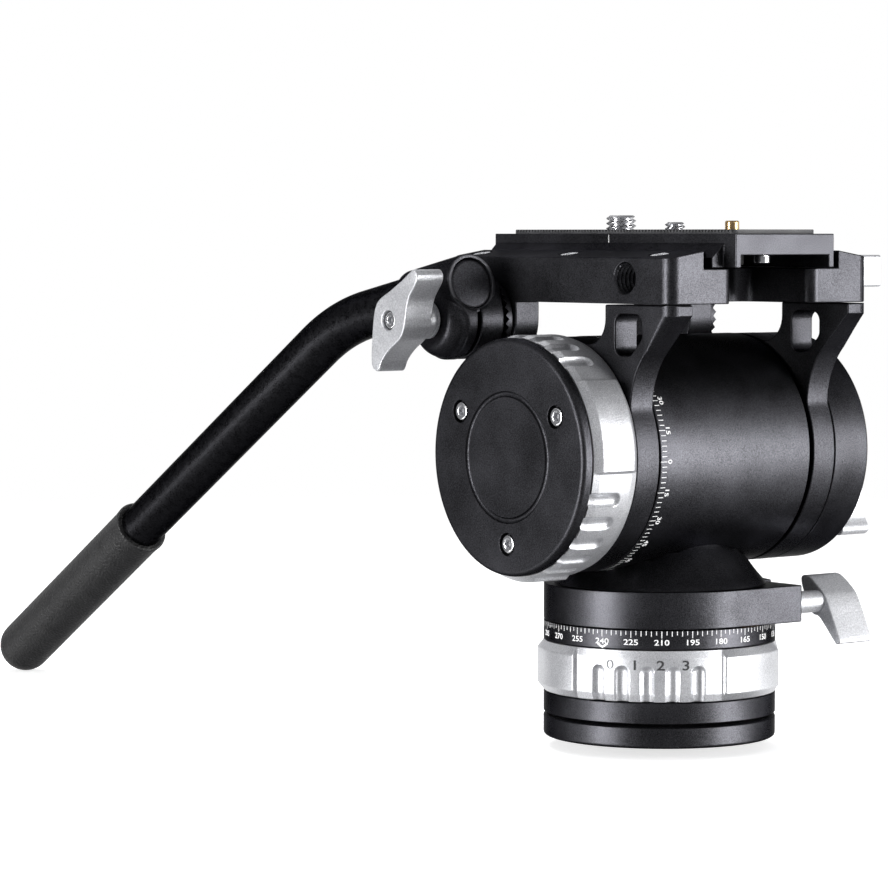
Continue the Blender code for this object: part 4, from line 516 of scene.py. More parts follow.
# %% Pan base
disc("foot_plate", [(7.3, 0, 0), (BODY_RADIUS, 0, 1.1), (BODY_RADIUS, 6.3, 0.15), (35.7, 6.9, 0.1), (7.3, 6.9, 0),
                    (7.3, 0, 0)], "base", "base_plate")
disc("collar", [(9.5, 7.25, 0), (35.6, 7.25, 0), (BODY_RADIUS, 7.8, 0.3), (BODY_RADIUS, 14.15, 0.35),
                (30.5, 14.15, 0), (30.5, 35.95, 0), (24, 35.95, 0), (24, 9.5, 0), (9.5, 9.5, 0), (9.5, 7.25, 0)],
     "base", "base_body")
disc("scale_ring", [(30.9, 30.55, 0), (BODY_RADIUS, 30.55, 0.3), (BODY_RADIUS, 36.4, 0.15), (30.9, 36.4, 0),
                    (30.9, 30.55, 0)], "base", "pan_scale_ring")

# %% [markdown]
# ## Drag rings
#
# Both silver rings have three raised lobes, and between them five scooped grooves for the fingers. On a lathe this
# would be a ring with milled cuts, and Booleans could copy that, but one function of angle and height gives the lobes,
# the chamfers and every scoop with clean shading.

# %% Drag rings
def ring_radius(angle, height, width):
    """Radius of a drag ring.

    The recessed radius plus the lobes' height where an angle lies in a lobe, eased over its flank, both chamfered
    towards the two edges, less the scoops: depth times one minus the share of the scoop's half width to a power.
    """
    sector, pitch = math.radians(120), math.radians(12.2)
    local = (angle + sector / 2) % sector - sector / 2
    flank = np.clip((np.abs(local) - math.radians(37)) / math.radians(1.3), 0, 1)
    lobe = flank * flank * (3 - 2 * flank)
    chamfer = np.clip(np.minimum(height, width - height) / 2.3, 0, 1)
    number = np.clip(np.round(local / pitch), -2, 2)
    share = np.hypot((local - number * pitch) * 37.2, np.maximum(height - 8.9, 0)) / 2.2
    return BODY_RADIUS + chamfer * (0.7 + 1.2 * lobe) - 1.25 * np.clip(1 - share ** 2.6, 0, None)


def drag_ring(name, width, place, turn, body, stands_for):
    """Ring as a grid of angle and height, with a plain inner wall. turn is in degrees."""
    sides = 840
    angle = np.arange(sides) * TAU / sides
    levels = np.concatenate([np.linspace(0, 2.3, 8), np.linspace(2.6, 8.6, 12), np.linspace(8.9, 11.3, 14),
                             np.linspace(11.8, width - 2.3, 4), np.linspace(width - 2.0, width, 6)])
    bore = np.full((1, sides), 30.9)
    radius = np.concatenate([bore, ring_radius(angle[None], levels[:, None], width), bore, bore])
    levels = np.array([0, *levels, width, 0])
    sheet = revolved(radius, levels[:, None], place, sides, math.radians(turn))
    piece(name, [sheet], silver_anodised, body, stands_for, sharp=50)


TURNED_LEFT = np.array([(0, 0, -1), (0, 1, 0), (1, 0, 0)], float)
drag_ring("pan_ring", 15.7, (UPRIGHT[0], (0, 0, 14.5)), -137, "pan_ring", "pan_drag_ring")
drag_ring("tilt_ring", 16.8, (TURNED_LEFT, (-58.1, 0, TILT_HEIGHT)), -47.5, "tilt_ring", "tilt_drag_ring")

# %% [markdown]
# ## Pan housing
#
# Drum, clamp ear, neck and the horizontal cylinder are one casting. The neck is not a plain cone: each of its lines
# has to end on the cylinder, so its top ring is worked out as the curve where a round column meets the cylinder.

# %% Pan housing
def arc(centre, radius, start, end, steps):
    """Points on an arc between two angles in degrees, both ends included."""
    angle = np.radians(np.linspace(start, end, steps + 1))
    return np.stack([centre[0] + radius * np.cos(angle), centre[1] + radius * np.sin(angle)], -1)


def drum_outline():
    """Drum seen from above: the circle, and on its right the flat ear with softened corners."""
    ear = [(0.2, -BODY_RADIUS), (27.4, -BODY_RADIUS), (27.4, -16.5), (22.0, -16.5)]
    body = arc((0, 0), BODY_RADIUS, math.degrees(math.atan2(-16.5, 32.56)), 270, 149)
    return np.concatenate([body, soft_corners(ear, [0, 0.9, 0.9, 0], 6, closed=False)[1:-1]])


def neck_sheet(sides=144):
    """Neck as a grid: it falls in steps from the drum's shoulder and every line ends on the tilt cylinder.

    On the cylinder the height is the axis height less the root of its radius squared minus y squared.
    """
    levels = np.array([48.0, 48.4, 48.9, 49.6, 50.6, 52.0, 53.4, 54.9, 57.0, 59.4, 61.5])
    radii = np.interp(levels, [48.0, 48.2, 49.6, 52.0, 54.9, 61.5], [33.6, 33.5, 32.4, 30.3, 28.1, 22.9])
    radius = np.append(radii, 22.6)[:, None]
    meet = TILT_HEIGHT - np.sqrt(36.2 ** 2 - (radius * np.sin(np.arange(sides) * TAU / sides)) ** 2)
    height = np.minimum(np.append(levels, 0)[:, None], meet)
    height[-1] = meet[-1] + 1.5
    return revolved(radius, height, UPRIGHT, sides)


piece("drum", slab(drum_outline(), 36.7, 48.2, 0.35), black_anodised, "pan_unit", "pan_housing")
piece("neck", [neck_sheet()], black_anodised, "pan_unit", sharp=30)
disc("tilt_cylinder", [(0, -31.65, 0), (31, -31.65, 0), (BODY_RADIUS, -31.65, 0.4), (BODY_RADIUS, 30.25, 0.4),
                       (31, 30.25, 0), (0, 30.25, 0)], "pan_unit", place=TILT_AXIS)

# %% [markdown]
# ## Arms
#
# An arm is cut from thick plate: round about the tilt axis, drawn in at a waist, then leaning forwards to a lip below
# the platform. A subdivided cage would round everything alike, so the side view is drawn once with real radii and its
# rim is carried through the thickness. Only the lip's outer corner is rounder, and a bend of the points gives it that.

# %% Arms
def arm_outline():
    """Side view in (y, z) from the tilt axis.

    The front fillet's centre lies its radius in front of the waist, where its tangent runs into the diagonal. The
    rear fillet touches both the straight edge and the round body, so its centre is both radii from the axis.
    """
    body, waist, front, rear, top, lip = 36.4, 33.2, 51.2, 21.2, 46.63, 43.53
    fillet, small = 24.6, 8.0
    centre_y, rear_y = -(waist + fillet), small - rear
    centre_z = lip - (centre_y + front) - 2 * fillet * math.sqrt(0.5)
    rear_z = math.sqrt((body + small) ** 2 - rear_y ** 2)
    start = 180 - math.degrees(math.acos(waist / body))
    end = math.degrees(math.atan2(rear_z, rear_y)) + 360
    outline = np.concatenate([
        [(-rear, top), (-front, top), (-front, lip)], arc((centre_y, centre_z), fillet, 45, 0, 16),
        arc((0, 0), body, start, end, 150)[1:-1], arc((rear_y, rear_z), small, end - 540, -180, 12)])
    return soft_corners(outline, np.where(np.arange(len(outline)) < 3, 0.5, 0), 4)


def lip_corner(points):
    """Moves points back onto the upright round of 4 mm at the lip's outer front corner."""
    reach = np.clip(np.abs(points[:, 2]) - 37, 0, None)
    limit = -47.2 - np.sqrt(np.clip(4 ** 2 - reach ** 2, 0, None))
    high = points[:, 1] > 30
    points[high, 0] = np.maximum(points[high, 0], limit[high])
    return points


window = soft_corners([(-25.9, 31.33), (-25.9, 43.83), (-38.1, 43.83), (-38.1, 36.53), (-32.9, 31.33)], 3, 8)
for name, side in (("arm_left", -1), ("arm_right", 1)):
    layers = np.sort(side * np.array([37.0, 37.7, 38.4, 39.0, 39.5, 39.9, 40.2, 40.45]))
    sheets = slab(arm_outline(), *sorted((side * 32, side * 41)), 0.45, TILT_AXIS, [window, circle(12.3)],
                  layers=layers, bend=lip_corner)
    piece(name + "_casting", sheets, black_cast, "tilt_unit", name)
disc("flange_disc", [(27.5, 41.3, 0), (36.35, 41.3, 0.4), (36.35, 55.95, 1.1), (0, 55.95, 0), (0, 50.3, 0),
                     (27.5, 50.3, 0), (27.5, 41.3, 0)], "tilt_unit", "end_flange", place=TILT_AXIS)

# %% [markdown]
# ## Knob cover
#
# The cover is a turned disc with one shallow round groove and three counterbored cap screws. The face between groove
# and rim has holes, so it is filled between its loops, and the rest is turned. The screws are small profiles whose
# rings change from round to hexagonal.

# %% Knob cover
def cap_screw(name, radius, hexagon, height, shank, reach, place, body, stands_for, finish=bright_steel, sides=48):
    """Cap screw with its face at zero, a rounded rim and a hexagon socket with a drilled bottom.

    Each level is (radius, height, share), the share of a hexagon in its ring. A hexagon's edge lies at its corner
    radius times cos 30 over the cosine of the angle from the side's middle.
    """
    levels = [(0, -1.45 * hexagon, 0), (hexagon * 0.8, -1.1 * hexagon, 0), (hexagon, -1.1 * hexagon, 1),
              (hexagon, -0.12, 1), (hexagon * 1.12, 0, 0.6), (radius * 0.8, 0, 0), (radius * 0.9, -0.04, 0),
              (radius * 0.97, -0.14, 0), (radius, -0.35, 0), (radius, -height, 0), (shank, -height, 0),
              (shank, -reach, 0), (0, -reach, 0)]
    angle, sixth = np.arange(sides) * TAU / sides, TAU / 6
    edge = math.cos(sixth / 2) / np.cos(angle % sixth - sixth / 2)
    ring, level, share = np.array(levels).T[:, :, None]
    piece(name, [revolved(ring * (1 + share * (edge - 1)), level, place, sides)], finish, body, stands_for, sharp=30)


FACE_LEFT = np.array([(0, -1, 0), (0, 0, 1), (-1, 0, 0)], float)
KNOB = FACE_LEFT, (-62, 0, TILT_HEIGHT)
places = [(26.5 * math.cos(a), 26.5 * math.sin(a)) for a in np.radians([-90, 30, 150])]
groove = arc((0, 0), 1, 180, 360, 8) * (0.95, 0.75) + (19.3, 0)
inner = np.concatenate([[(0, 0), (17.9, 0), (18.2, -0.02)], groove, [(20.4, -0.02), (20.7, 0)]])
rim = soft_corners([(34.6, 0), (36.4, 0), (36.4, -3.6), (34.6, -3.6)], [0, 1.5, 0.4, 0], 7, closed=False)
edge = circle(34.6, sides=144)
sheets = [turned(inner, KNOB), turned(rim, KNOB),
          panel([edge, circle(20.7, sides=144), *[circle(3.8, place) for place in places]], 0, KNOB),
          panel([edge, *[circle(1.8, place) for place in places]], -3.6, KNOB)]
well = [(3.8, 0), (3.6, -0.06), (3.5, -0.25), (3.5, -1.8), (1.8, -1.8), (1.8, -3.6)]
sheets += [turned(well, (FACE_LEFT, laid((*place, 0), KNOB)), 48) for place in places]
piece("knob_cover", sheets, black_cast, "tilt_unit", "tilt_knob_cover", sharp=30)
for number, node, place in zip((1, 2, 3), (1, 3, 2), places):
    cap_screw(f"cover_cap_screw_{number}", 2.75, 1.5, 1.2, 1.5, 8.0, (FACE_LEFT, laid((*place, -0.3), KNOB)),
              "tilt_unit", f"cover_screw_{node}")

# %% [markdown]
# ## Lock levers
#
# The three wing levers are die castings: a soft S in side view, a few millimetres thick, every edge rounded. Their
# outline is a closed curve through a few points chosen on the photograph, and a closed Catmull-Rom spline makes it
# smooth. The rim's radius is larger than on machined pieces, so that each lever shows broad highlights.

# %% Lock levers
def closed_spline(points, steps=9):
    """Closed curve through points: between two of them, a cubic whose slopes follow the points on either side."""
    t = (np.arange(steps) / steps)[None, :, None]
    p0, p1, p2, p3 = (np.roll(points, shift, 0)[:, None] for shift in (1, 0, -1, -2))
    curve = 0.5 * (2 * p1 + (p2 - p0) * t + (2 * p0 - 5 * p1 + 4 * p2 - p3) * t ** 2 + (
        3 * p1 - p0 - 3 * p2 + p3) * t ** 3)
    return curve.reshape(-1, 2)


def wing(name, shares, reach, turn, start, end, hub, centre, body, stands_for, holes=()):
    """Lever about an axis along X: a soft-edged blade, and a turned hub in (radius, x) corners."""
    slope, place = math.radians(turn), (ALONG_X, centre)
    spin = np.array([(math.cos(slope), math.sin(slope)), (-math.sin(slope), math.cos(slope))])
    outline = closed_spline(np.array(shares) * reach @ spin)
    sheets = slab(outline, start, end, 0.5, place, holes, steps=4) + [turned(hub + hub[:1], place, 64)]
    piece(name, sheets, silver_cast, body, stands_for, sharp=32)


LOCK_WING = [(0.47, 0.49), (0.23, 0.49), (-0.13, 0.24), (-0.29, 0.05), (-0.50, -0.36), (-0.69, -0.77),
             (-0.67, -0.84), (-0.57, -0.86), (-0.49, -0.78), (-0.08, -0.35), (0.16, -0.25), (0.44, 0.24)]
BROAD_WING = [(-0.74, 0.95), (-0.86, 0.90), (-0.89, 0.80), (-0.83, 0.67), (-0.62, 0.39), (-0.53, 0.01),
              (-0.47, -0.18), (-0.34, -0.36), (-0.03, -0.56), (0.18, -0.75), (0.29, -0.93), (0.39, -0.96),
              (0.50, -0.88), (0.53, -0.73), (0.52, -0.48), (0.47, -0.01), (0.40, 0.24), (0.28, 0.39),
              (-0.04, 0.55), (-0.41, 0.75)]
wing("pan_wing", LOCK_WING, 15, 0, 39.2, 53.4, [(2.9, 27.75), (3.3, 27.75), (3.5, 28.0), (3.5, 44), (2.9, 44)],
     (0, -30.4, 42), "pan_lever", "pan_lock_lever")
wing("tilt_wing", BROAD_WING, 16.5, -60, 62.5, 74.5, [(2.9, 56.3), (5.5, 56.3), (5.9, 56.7), (5.9, 68), (2.9, 68)],
     (0, -7, TILT_HEIGHT - 14.7), "tilt_lever", "tilt_lock_lever")

# %% [markdown]
# ## Platform
#
# The platform is milled from one block: two rails with sloping tops, a channel for the plate, a front notch and two
# lugs below the rear. Slabs can't meet so cleanly, so every face is filled between its real corners, neighbours share
# their corners, and a small Bevel modifier breaks the edges all over as the deburring does on the real piece.

# %% Milled blocks
def at(loop, height, place=UPRIGHT):
    """Line of flat points lifted to one height, or to each point's own."""
    return laid(np.column_stack([loop, height + np.zeros(len(loop))]), place)


def wall(loop, low, high, place=UPRIGHT, closed=False):
    """Strip over a line of flat points, from one height to another."""
    return np.concatenate([at(loop, low, place), at(loop, high, place)]), grid_faces(2, len(loop), closed)


def thread_radius(radius, depth, pitch, angle, height):
    """Radius of a V thread: the crest less depth times a flattened zigzag of turns along the axis."""
    turns = (height / pitch - angle / TAU) % 1
    return radius - depth * np.clip(1.25 - 2.9 * np.abs(turns - 0.5), 0, 1)


def milled(name, sheets, body, stands_for, bevel):
    """Piece from flat faces whose edges are broken by a bevel, modifiers in that order."""
    item = piece(name, sheets, black_anodised, body, stands_for, sharp=30)
    shape = bmesh.new()
    shape.from_mesh(item.data)
    bmesh.ops.dissolve_limit(shape, angle_limit=math.radians(0.4), verts=shape.verts, edges=shape.edges)
    shape.to_mesh(item.data)
    shape.free()
    for face in item.data.polygons:
        face.use_smooth = len(face.vertices) == 4
    soften = item.modifiers.new("edges", "BEVEL")
    soften.width, soften.segments = bevel * MM, 3
    soften.limit_method, soften.angle_limit = "ANGLE", math.radians(50)
    soften.use_clamp_overlap, soften.face_strength_mode = False, "FSTR_ALL"
    item.modifiers.move(1, 0)


def mirrored(loop):
    """Half a cross section in (z, x), followed by its mirror image on the other side of the middle."""
    return np.array(loop + [(z, -x) for z, x in reversed(loop)])


# %% Platform
HALF, CHANNEL, NOTCH = 41.0, 27.7, 16.0
FRONT, REAR = -51.2, 54.0
UNDER, FLOOR, EDGE, LIP = 136.6, 147.2, 150.5, 152.6
HINGE = (35.5, 131.0)
LUG_RADIUS, LUG_INSIDE = 14.1, 31.7
SCREW_SIDE, SCREW_LINE = 33.7, (-38.0, 4.3, 47.7)
SINK_RADIUS, SINK_FLOOR = 3.3, 146.3
FRONT_ROUND, REAR_ROUND = 4.0, 3.5
BORE, BORE_RADIUS, BORE_DEPTH = (-30.3, 144.2), 4.9, 8.5


def slope(points):
    """Height of a rail's top over points in plan: from the outer edge up to the lip."""
    return EDGE + (HALF - np.abs(points[:, 0])) * (LIP - EDGE) / (HALF - CHANNEL)


corner_front = arc((HALF - FRONT_ROUND, FRONT + FRONT_ROUND), FRONT_ROUND, -90, 0, 8)
corner_rear = arc((HALF - REAR_ROUND, REAR - REAR_ROUND), REAR_ROUND, 0, 90, 8)
mouth = [(-NOTCH - 3, FRONT), (-NOTCH, FRONT), (-NOTCH, -21), (NOTCH, -21), (NOTCH, FRONT), (NOTCH + 3, FRONT)]
notch = soft_corners(mouth, [0, 3, 5, 5, 3, 0], 8, False)
rail = np.concatenate([[(CHANNEL, FRONT)], corner_front, corner_rear, [(CHANNEL, REAR)]])
lug = np.concatenate([[(HINGE[0] + LUG_RADIUS, UNDER)], arc(HINGE, LUG_RADIUS, 0, -180, 24),
                      [(HINGE[0] - LUG_RADIUS, UNDER)]])
bolt = circle(3.3, HINGE)
side_start, side_end = FRONT + FRONT_ROUND, REAR - REAR_ROUND
bed = [(CHANNEL, FRONT), (CHANNEL, REAR), (-CHANNEL, REAR), (-CHANNEL, FRONT)]
sheets = [panel([np.concatenate([notch, bed])], FLOOR), wall(notch, UNDER, FLOOR)]
for side in (-1, 1):
    flip = np.array([side, 1])
    screws = [circle(SINK_RADIUS, (side * SCREW_SIDE, y)) for y in SCREW_LINE]
    sheets.append(panel([rail * flip, *screws], slope))
    for loop in screws:
        sheets += [wall(loop, slope(loop), SINK_FLOOR, closed=True), panel([loop], SINK_FLOOR)]
    sheets += [wall(line, UNDER, slope(line)) for line in (corner_front * flip, corner_rear * flip)]
    sheets.append(wall(np.array(bed[:2]) * flip, FLOOR, LIP))
    face = [(side_start, UNDER), (side_start, EDGE), (side_end, EDGE), (side_end, UNDER)]
    holes = [circle(BORE_RADIUS, BORE, 64), bolt] if side < 0 else [bolt]
    sheets += [panel([np.concatenate([face, lug]), *holes], side * HALF, ACROSS),
               panel([lug, bolt], side * LUG_INSIDE, ACROSS), wall(lug, side * HALF, side * LUG_INSIDE, ACROSS),
               wall(bolt, side * HALF, side * LUG_INSIDE, ACROSS, True)]
    width = HALF - FRONT_ROUND
    end = [(UNDER, NOTCH + 3), (UNDER, width), (slope(corner_front[:1])[0], width), (LIP, CHANNEL), (FLOOR, CHANNEL),
           (FLOOR, NOTCH + 3)]
    sheets.append(panel([np.array(end) * (1, side)], FRONT, LENGTHWAYS))
width, rise = HALF - REAR_ROUND, slope(corner_rear[-1:])[0]
sheets.append(panel([mirrored([(UNDER, width), (rise, width), (LIP, CHANNEL), (FLOOR, CHANNEL)])], REAR, LENGTHWAYS))
cut = [(x, HINGE[0] + y) for x, y in ((HALF, -LUG_RADIUS), (LUG_INSIDE, -LUG_RADIUS), (LUG_INSIDE, LUG_RADIUS),
                                      (HALF, LUG_RADIUS))]
half_plan = np.concatenate([corner_front, cut, corner_rear])
sheets.append(panel([np.concatenate([notch, half_plan, half_plan[::-1] * (-1, 1)])], UNDER))
angle = np.arange(64) * TAU / 64
depth = np.linspace(0.5, BORE_DEPTH, 60)[:, None]
radius = np.concatenate([np.full((1, 64), BORE_RADIUS), thread_radius(4.95, 0.75, 1.5875, angle, depth)])
bore = revolved(radius, np.concatenate([[[0.0]], depth]), (ALONG_X, (-HALF, *BORE)), 64)
sheets += [bore, panel([bore[0][-64:, 1:]], BORE_DEPTH - HALF, ACROSS)]
milled("platform_block", sheets, "tilt_unit", "platform", 0.35)
for word, side in (("left", -1), ("right", 1)):
    lean = math.atan2(LIP - EDGE, HALF - CHANNEL) * side
    upright = np.array([(math.cos(lean), 0, -math.sin(lean)), (0, 1, 0), (math.sin(lean), 0, math.cos(lean))])
    for row, y in enumerate(SCREW_LINE):
        place = upright, (side * SCREW_SIDE, y, 151.55)
        cap_screw(f"rail_cap_screw_{word}_{row + 1}", 2.9, 1.5, 2.8, 1.6, 9.0, place, "tilt_unit",
                  f"rail_screw_{word}_{row + 1}", silver_anodised)

# %% [markdown]
# ## Rosettes
#
# The handle sits on a toothed face so that it can't slip. The teeth are radial, so their depth has to grow with the
# distance from the centre: one height function of angle and radius does that, where a gear add-on would not.

# %% Rosettes
def rosette(name, side, body, stands_for, sides=384):
    """Toothed disc about X: crest at the outer plane, less a zigzag of the angle times the radius.

    Rings are (radius, height, teeth), and teeth is 1 where they reach.
    """
    zigzag = np.abs(np.arange(sides) * 32 / sides % 1 * 2 - 1)
    crest = 2.72
    rings = [(3.3, 0, 0), (12.7, 0, 0), (13, 0.3, 0), (13, 1.6, 0), (13, crest, 1), (10.5, crest, 1), (8.2, crest, 1),
             (6, crest, 1), (5.6, 2.1, 0), (3.3, 2.1, 0), (3.3, 0, 0)]
    radius, height, teeth = np.array(rings).T[:, :, None]
    level = side * (HALF + 0.3 + height - 1.25 * teeth * radius / 13 * zigzag)
    piece(name, [revolved(radius, level, (ALONG_X, (0, *HINGE)), sides)], black_anodised, body, stands_for, sharp=25)


rosette("rosette_disc_left", -1, "tilt_unit", "rosette_left")
rosette("rosette_disc_right", 1, "tilt_unit", "rosette_right")

# %% [markdown]
# ## Quick release
#
# The plate slides between a fixed gib and a moving jaw. All of it is milled bar, so the faces are again filled between
# real corners. On top lies a ribbed pad, a grid whose height is a wave along the plate, split around the screw slot.

# %% Plate
STRIP, FOOT, LEG = 20.2, 24.4, 18.1
TOP, STRIP_UNDER, FOOT_TOP, LEG_END, PLATE_UNDER = 157.7, 154.8, 150.5, 147.5, 151.3
NOSE, TAIL, WING, LEAD, HEEL = -57.0, 57.8, -51.0, -51.4, 57.2
PIN = UPRIGHT[0], (0, -33.1, 0)
slot = soft_corners([(-5.1, -14), (5.1, -14), (5.1, 27), (-5.1, 27)], 4.8, 12)
pin_bore = circle(2.5, PIN[1], 40)
sheets = []
for width, height in ((STRIP, TOP), (LEG, PLATE_UNDER)):
    face = np.array([(-width, NOSE), (width, NOSE), (width, TAIL), (-width, TAIL)])
    sheets.append(panel([face, slot, pin_bore], height))
sheets += [wall(loop, PLATE_UNDER, TOP, closed=True) for loop in (slot, pin_bore)]
for y in (NOSE, TAIL):
    outline = mirrored([(PLATE_UNDER, LEG), (LEG_END, LEG), (LEG_END, STRIP), (TOP, STRIP)])
    sheets.append(panel([outline], y, LENGTHWAYS))
for side in (-1, 1):
    flip = (side, 1)
    cheek = [(NOSE, LEG_END), (NOSE, TOP), (TAIL, TOP), (TAIL, LEG_END), (HEEL, LEG_END), (HEEL, STRIP_UNDER),
             (LEAD, STRIP_UNDER), (LEAD, LEG_END)]
    end = np.array([(STRIP_UNDER, STRIP), (FOOT_TOP, FOOT), (LEG_END, FOOT), (LEG_END, STRIP)]) * (1, side)
    along, outer, inner = np.array([[(STRIP, LEAD), (STRIP, HEEL)], [(FOOT, WING), (FOOT, HEEL)],
                                    [(LEG, NOSE), (LEG, TAIL)]]) * flip
    flank = np.concatenate([at(along, STRIP_UNDER), at(outer, FOOT_TOP)]), grid_faces(2, 2, False)
    base = np.array([(LEG, NOSE), (STRIP, NOSE), (STRIP, LEAD), (FOOT, WING), (FOOT, HEEL), (STRIP, HEEL),
                     (STRIP, TAIL), (LEG, TAIL)])
    sheets += [panel([np.array(cheek)], side * STRIP, ACROSS), panel([end], HEEL, LENGTHWAYS),
               panel([end], lambda p: LEAD + (np.abs(p[:, 1]) - STRIP) * (WING - LEAD) / (FOOT - STRIP), LENGTHWAYS),
               flank, wall(outer, FOOT_TOP, LEG_END), wall(inner, LEG_END, PLATE_UNDER),
               panel([base * flip], LEG_END)]
milled("plate_bar", sheets, "plate", "qr_plate", 0.3)
cup = [(2.5, 151.35), (3.6, 151.35), (3.6, 148.4), (3.4, 148.2), (1.4, 148.2), (1.4, 148.6), (2.5, 148.6),
       (2.5, 151.35)]
# The cup is near black: dull black steel with painted shade of the hole it sits in.
piece("pin_boss", [turned(cup, PIN, 40)], cup_black_painted_shade, "plate")


# %% Pad
def pad_half(side, low=157.6, high=159.0, rib_pitch=1.45):
    """One half of the pad as a grid along the plate: columns run from the slot's rim to the rounded outer edge."""
    y = np.linspace(-52.5, 52.5, 1261)
    outer = 15 + np.sqrt(4 - np.clip(np.abs(y) - 50.5, 0, 2) ** 2)
    end = np.clip(np.maximum(-9.0 - y, y - 22.0), 0, 5.1)
    inner = np.where((y > -14) & (y < 27), np.sqrt(5.1 ** 2 - end ** 2), 0)
    inner = np.maximum(inner, np.sqrt(np.clip(2.5 ** 2 - (y + 33.1) ** 2, 0, None)))
    wave = 0.5 + 0.5 * np.cos(TAU * y / rib_pitch)
    top = high - 0.75 * (1 - np.clip(wave * 1.35, 0, 1)) * (np.abs(y) < 52)
    x = inner + (outer - inner) * np.array([0, 0.35, 0.7, 0.985])[:, None]
    surface = [(column, top) for column in x] + [(outer, top - 0.25), (outer, low + 0 * y), (inner, low + 0 * y)]
    points = np.stack([np.stack([side * x, y, z], -1) for x, z in surface], 1).reshape(-1, 3)
    gap = 7 * np.flatnonzero((inner[:-1] > 0) | (inner[1:] > 0))
    walls = np.stack([gap + 6, gap, gap + 7, gap + 13], -1)
    ends = np.array([np.arange(7), 7 * len(y) - 1 - np.arange(7)])
    return [(points, grid_faces(len(y), 7, closed=False)), (points, walls), (points, ends)]


piece("ribbed_pad", pad_half(-1) + pad_half(1), pad_rubber, "plate", "plate_pad", sharp=50)

# %% [markdown]
# ## Screws, pin and spring
#
# The two camera screws are the standard 3/8 and 1/4 inch ones, and the brass pin keeps a camera from turning on them.
# A thread could be a stack of rings. A true helix shows its slant from the side, so each thread is one surface whose
# radius follows height less turn.

# %% Screws and pin
def camera_screw(name, y, radius, depth, pitch, head, top, body, stands_for):
    """Threaded stud: head below the plate, then rows of the thread, then a chamfered end."""
    angle = np.arange(72) * TAU / 72
    height = np.arange(149.3, top, pitch / 14)[:, None]
    height = height[height[:, 0] > 151.2]
    thread = np.minimum(thread_radius(radius, depth, pitch, angle, height), radius - 0.9 + (top - height) * 1.2)
    plain = np.array([(0, 147.8), (head - 0.3, 147.8), (head, 148.1), (head, 150.7), (head - 0.3, 151.0),
                      (radius, 151.0), (radius - 1.15, top), (0, top)])
    full = np.ones(72)
    reach = np.concatenate([plain[:6, :1] * full, thread, plain[6:, :1] * full])
    level = np.concatenate([plain[:6, 1:], height, plain[6:, 1:]])
    sheet = revolved(reach, level, (UPRIGHT[0], (0, y, 0)), 72)
    piece(name, [sheet], bright_steel, body, stands_for, sharp=32)


camera_screw("large_stud", 19, 4.76, 0.97, 1.5875, 7.5, 163.5, "large_screw", "large_camera_screw")
camera_screw("small_stud", -6.8, 3.18, 0.78, 1.27, 7.0, 161.3, "small_screw", "small_camera_screw")
disc("brass_pin", [(0, 148.2, 0), (1.2, 148.2, 0.2), (1.2, 155, 0), (2.45, 155, 0.1), (2.45, 156.2, 0.1),
                   (2.2, 156.2, 0), (2.2, 161.7, 0.6), (0, 161.7, 0)], "pin", "video_pin", finish=turned_brass,
     place=PIN, sides=64)
upside_down = np.diag([1.0, -1.0, -1.0])
cap_screw("stop_cap_screw", 2.5, 1.3, 2.2, 1.3, 6.0, (upside_down, (0, -46.6, 148.8)), "plate", "plate_stop_screw")


# %% Pin spring
def coil(radius, wire, low, high, turns):
    """Helix of round wire: the centres of its rings climb evenly, and a ring of no size closes each end."""
    share = np.concatenate([[0], np.linspace(0, 1, turns * 32 + 1), [1]])[:, None]
    thick = np.where((share > 0) & (share < 1), wire, wire * 0.98)
    thick[[0, -1]] = 0
    turn, around = share * turns * TAU, np.arange(12) * TAU / 12
    reach = radius + thick * np.cos(around)
    height = low + (high - low) * share + thick * np.sin(around)
    points = np.stack([reach * np.cos(turn), reach * np.sin(turn), height], -1)
    return laid(points.reshape(-1, 3), PIN), grid_faces(len(share), 12)


spring = piece("pin_coil", [coil(1.9, 0.3, 149.2, 154.65, 4)], bright_steel, "plate", "pin_spring")
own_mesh(spring)

# %% [markdown]
# ## Jaws and clamp lever
#
# On the far side a short bar lever draws one jaw of the dovetail in. Little of it is in view, so it is a plain bar
# with softened edges, a slab like the arms.

# %% Jaws and clamp lever
def jaw(name, side, outer, body, stands_for):
    """Bar along Y whose inner side is undercut."""
    section = np.array([(147.5, outer), (147.5, 24.8), (150.6, 24.8), (152.3, 22.8), (152.3, outer)]) * (1, side)
    piece(name, slab(soft_corners(section, 0.3, 3), -47, 47, 0.3, LENGTHWAYS), black_anodised, body, stands_for)


jaw("gib_bar", -1, 27.4, "tilt_unit", "fixed_gib")
jaw("jaw_bar", 1, 26.4, "jaw", "clamp_jaw")
CLAMP_AXIS = ALONG_X, (0, -31.8, 146)
bar = soft_corners([(-5, -5), (33, -5), (33, 5), (-5, 5)], 0.9, 5)
sheets = slab(bar, 48, 60.5, 0.5, CLAMP_AXIS, steps=4)
sheets.append(turned([(2.1, 41.4), (4.4, 41.4), (4.7, 41.7), (4.7, 52), (2.1, 52), (2.1, 41.4)], CLAMP_AXIS, 64))
piece("clamp_bar", sheets, silver_cast, "clamp_handle", "clamp_lever")

# %% [markdown]
# ## Handle clamp
#
# The clamp is cast: a sleeve for the tube flows into a round body that turns on the rosette. Two cylinders joined by a
# Boolean would meet in a razor line, so the shape is a distance field instead. Its smooth minimum gives the fillet,
# its smooth maximum the soft rims, and a net of points is drawn onto the place where the field is zero.

# %% Handle clamp
def sloped(degrees):
    """Directions (across, up, along) for something that runs back and down by a slope."""
    a = math.radians(degrees)
    return np.array([(1, 0, 0), (0, math.sin(a), math.cos(a)), (0, math.cos(a), -math.sin(a))])


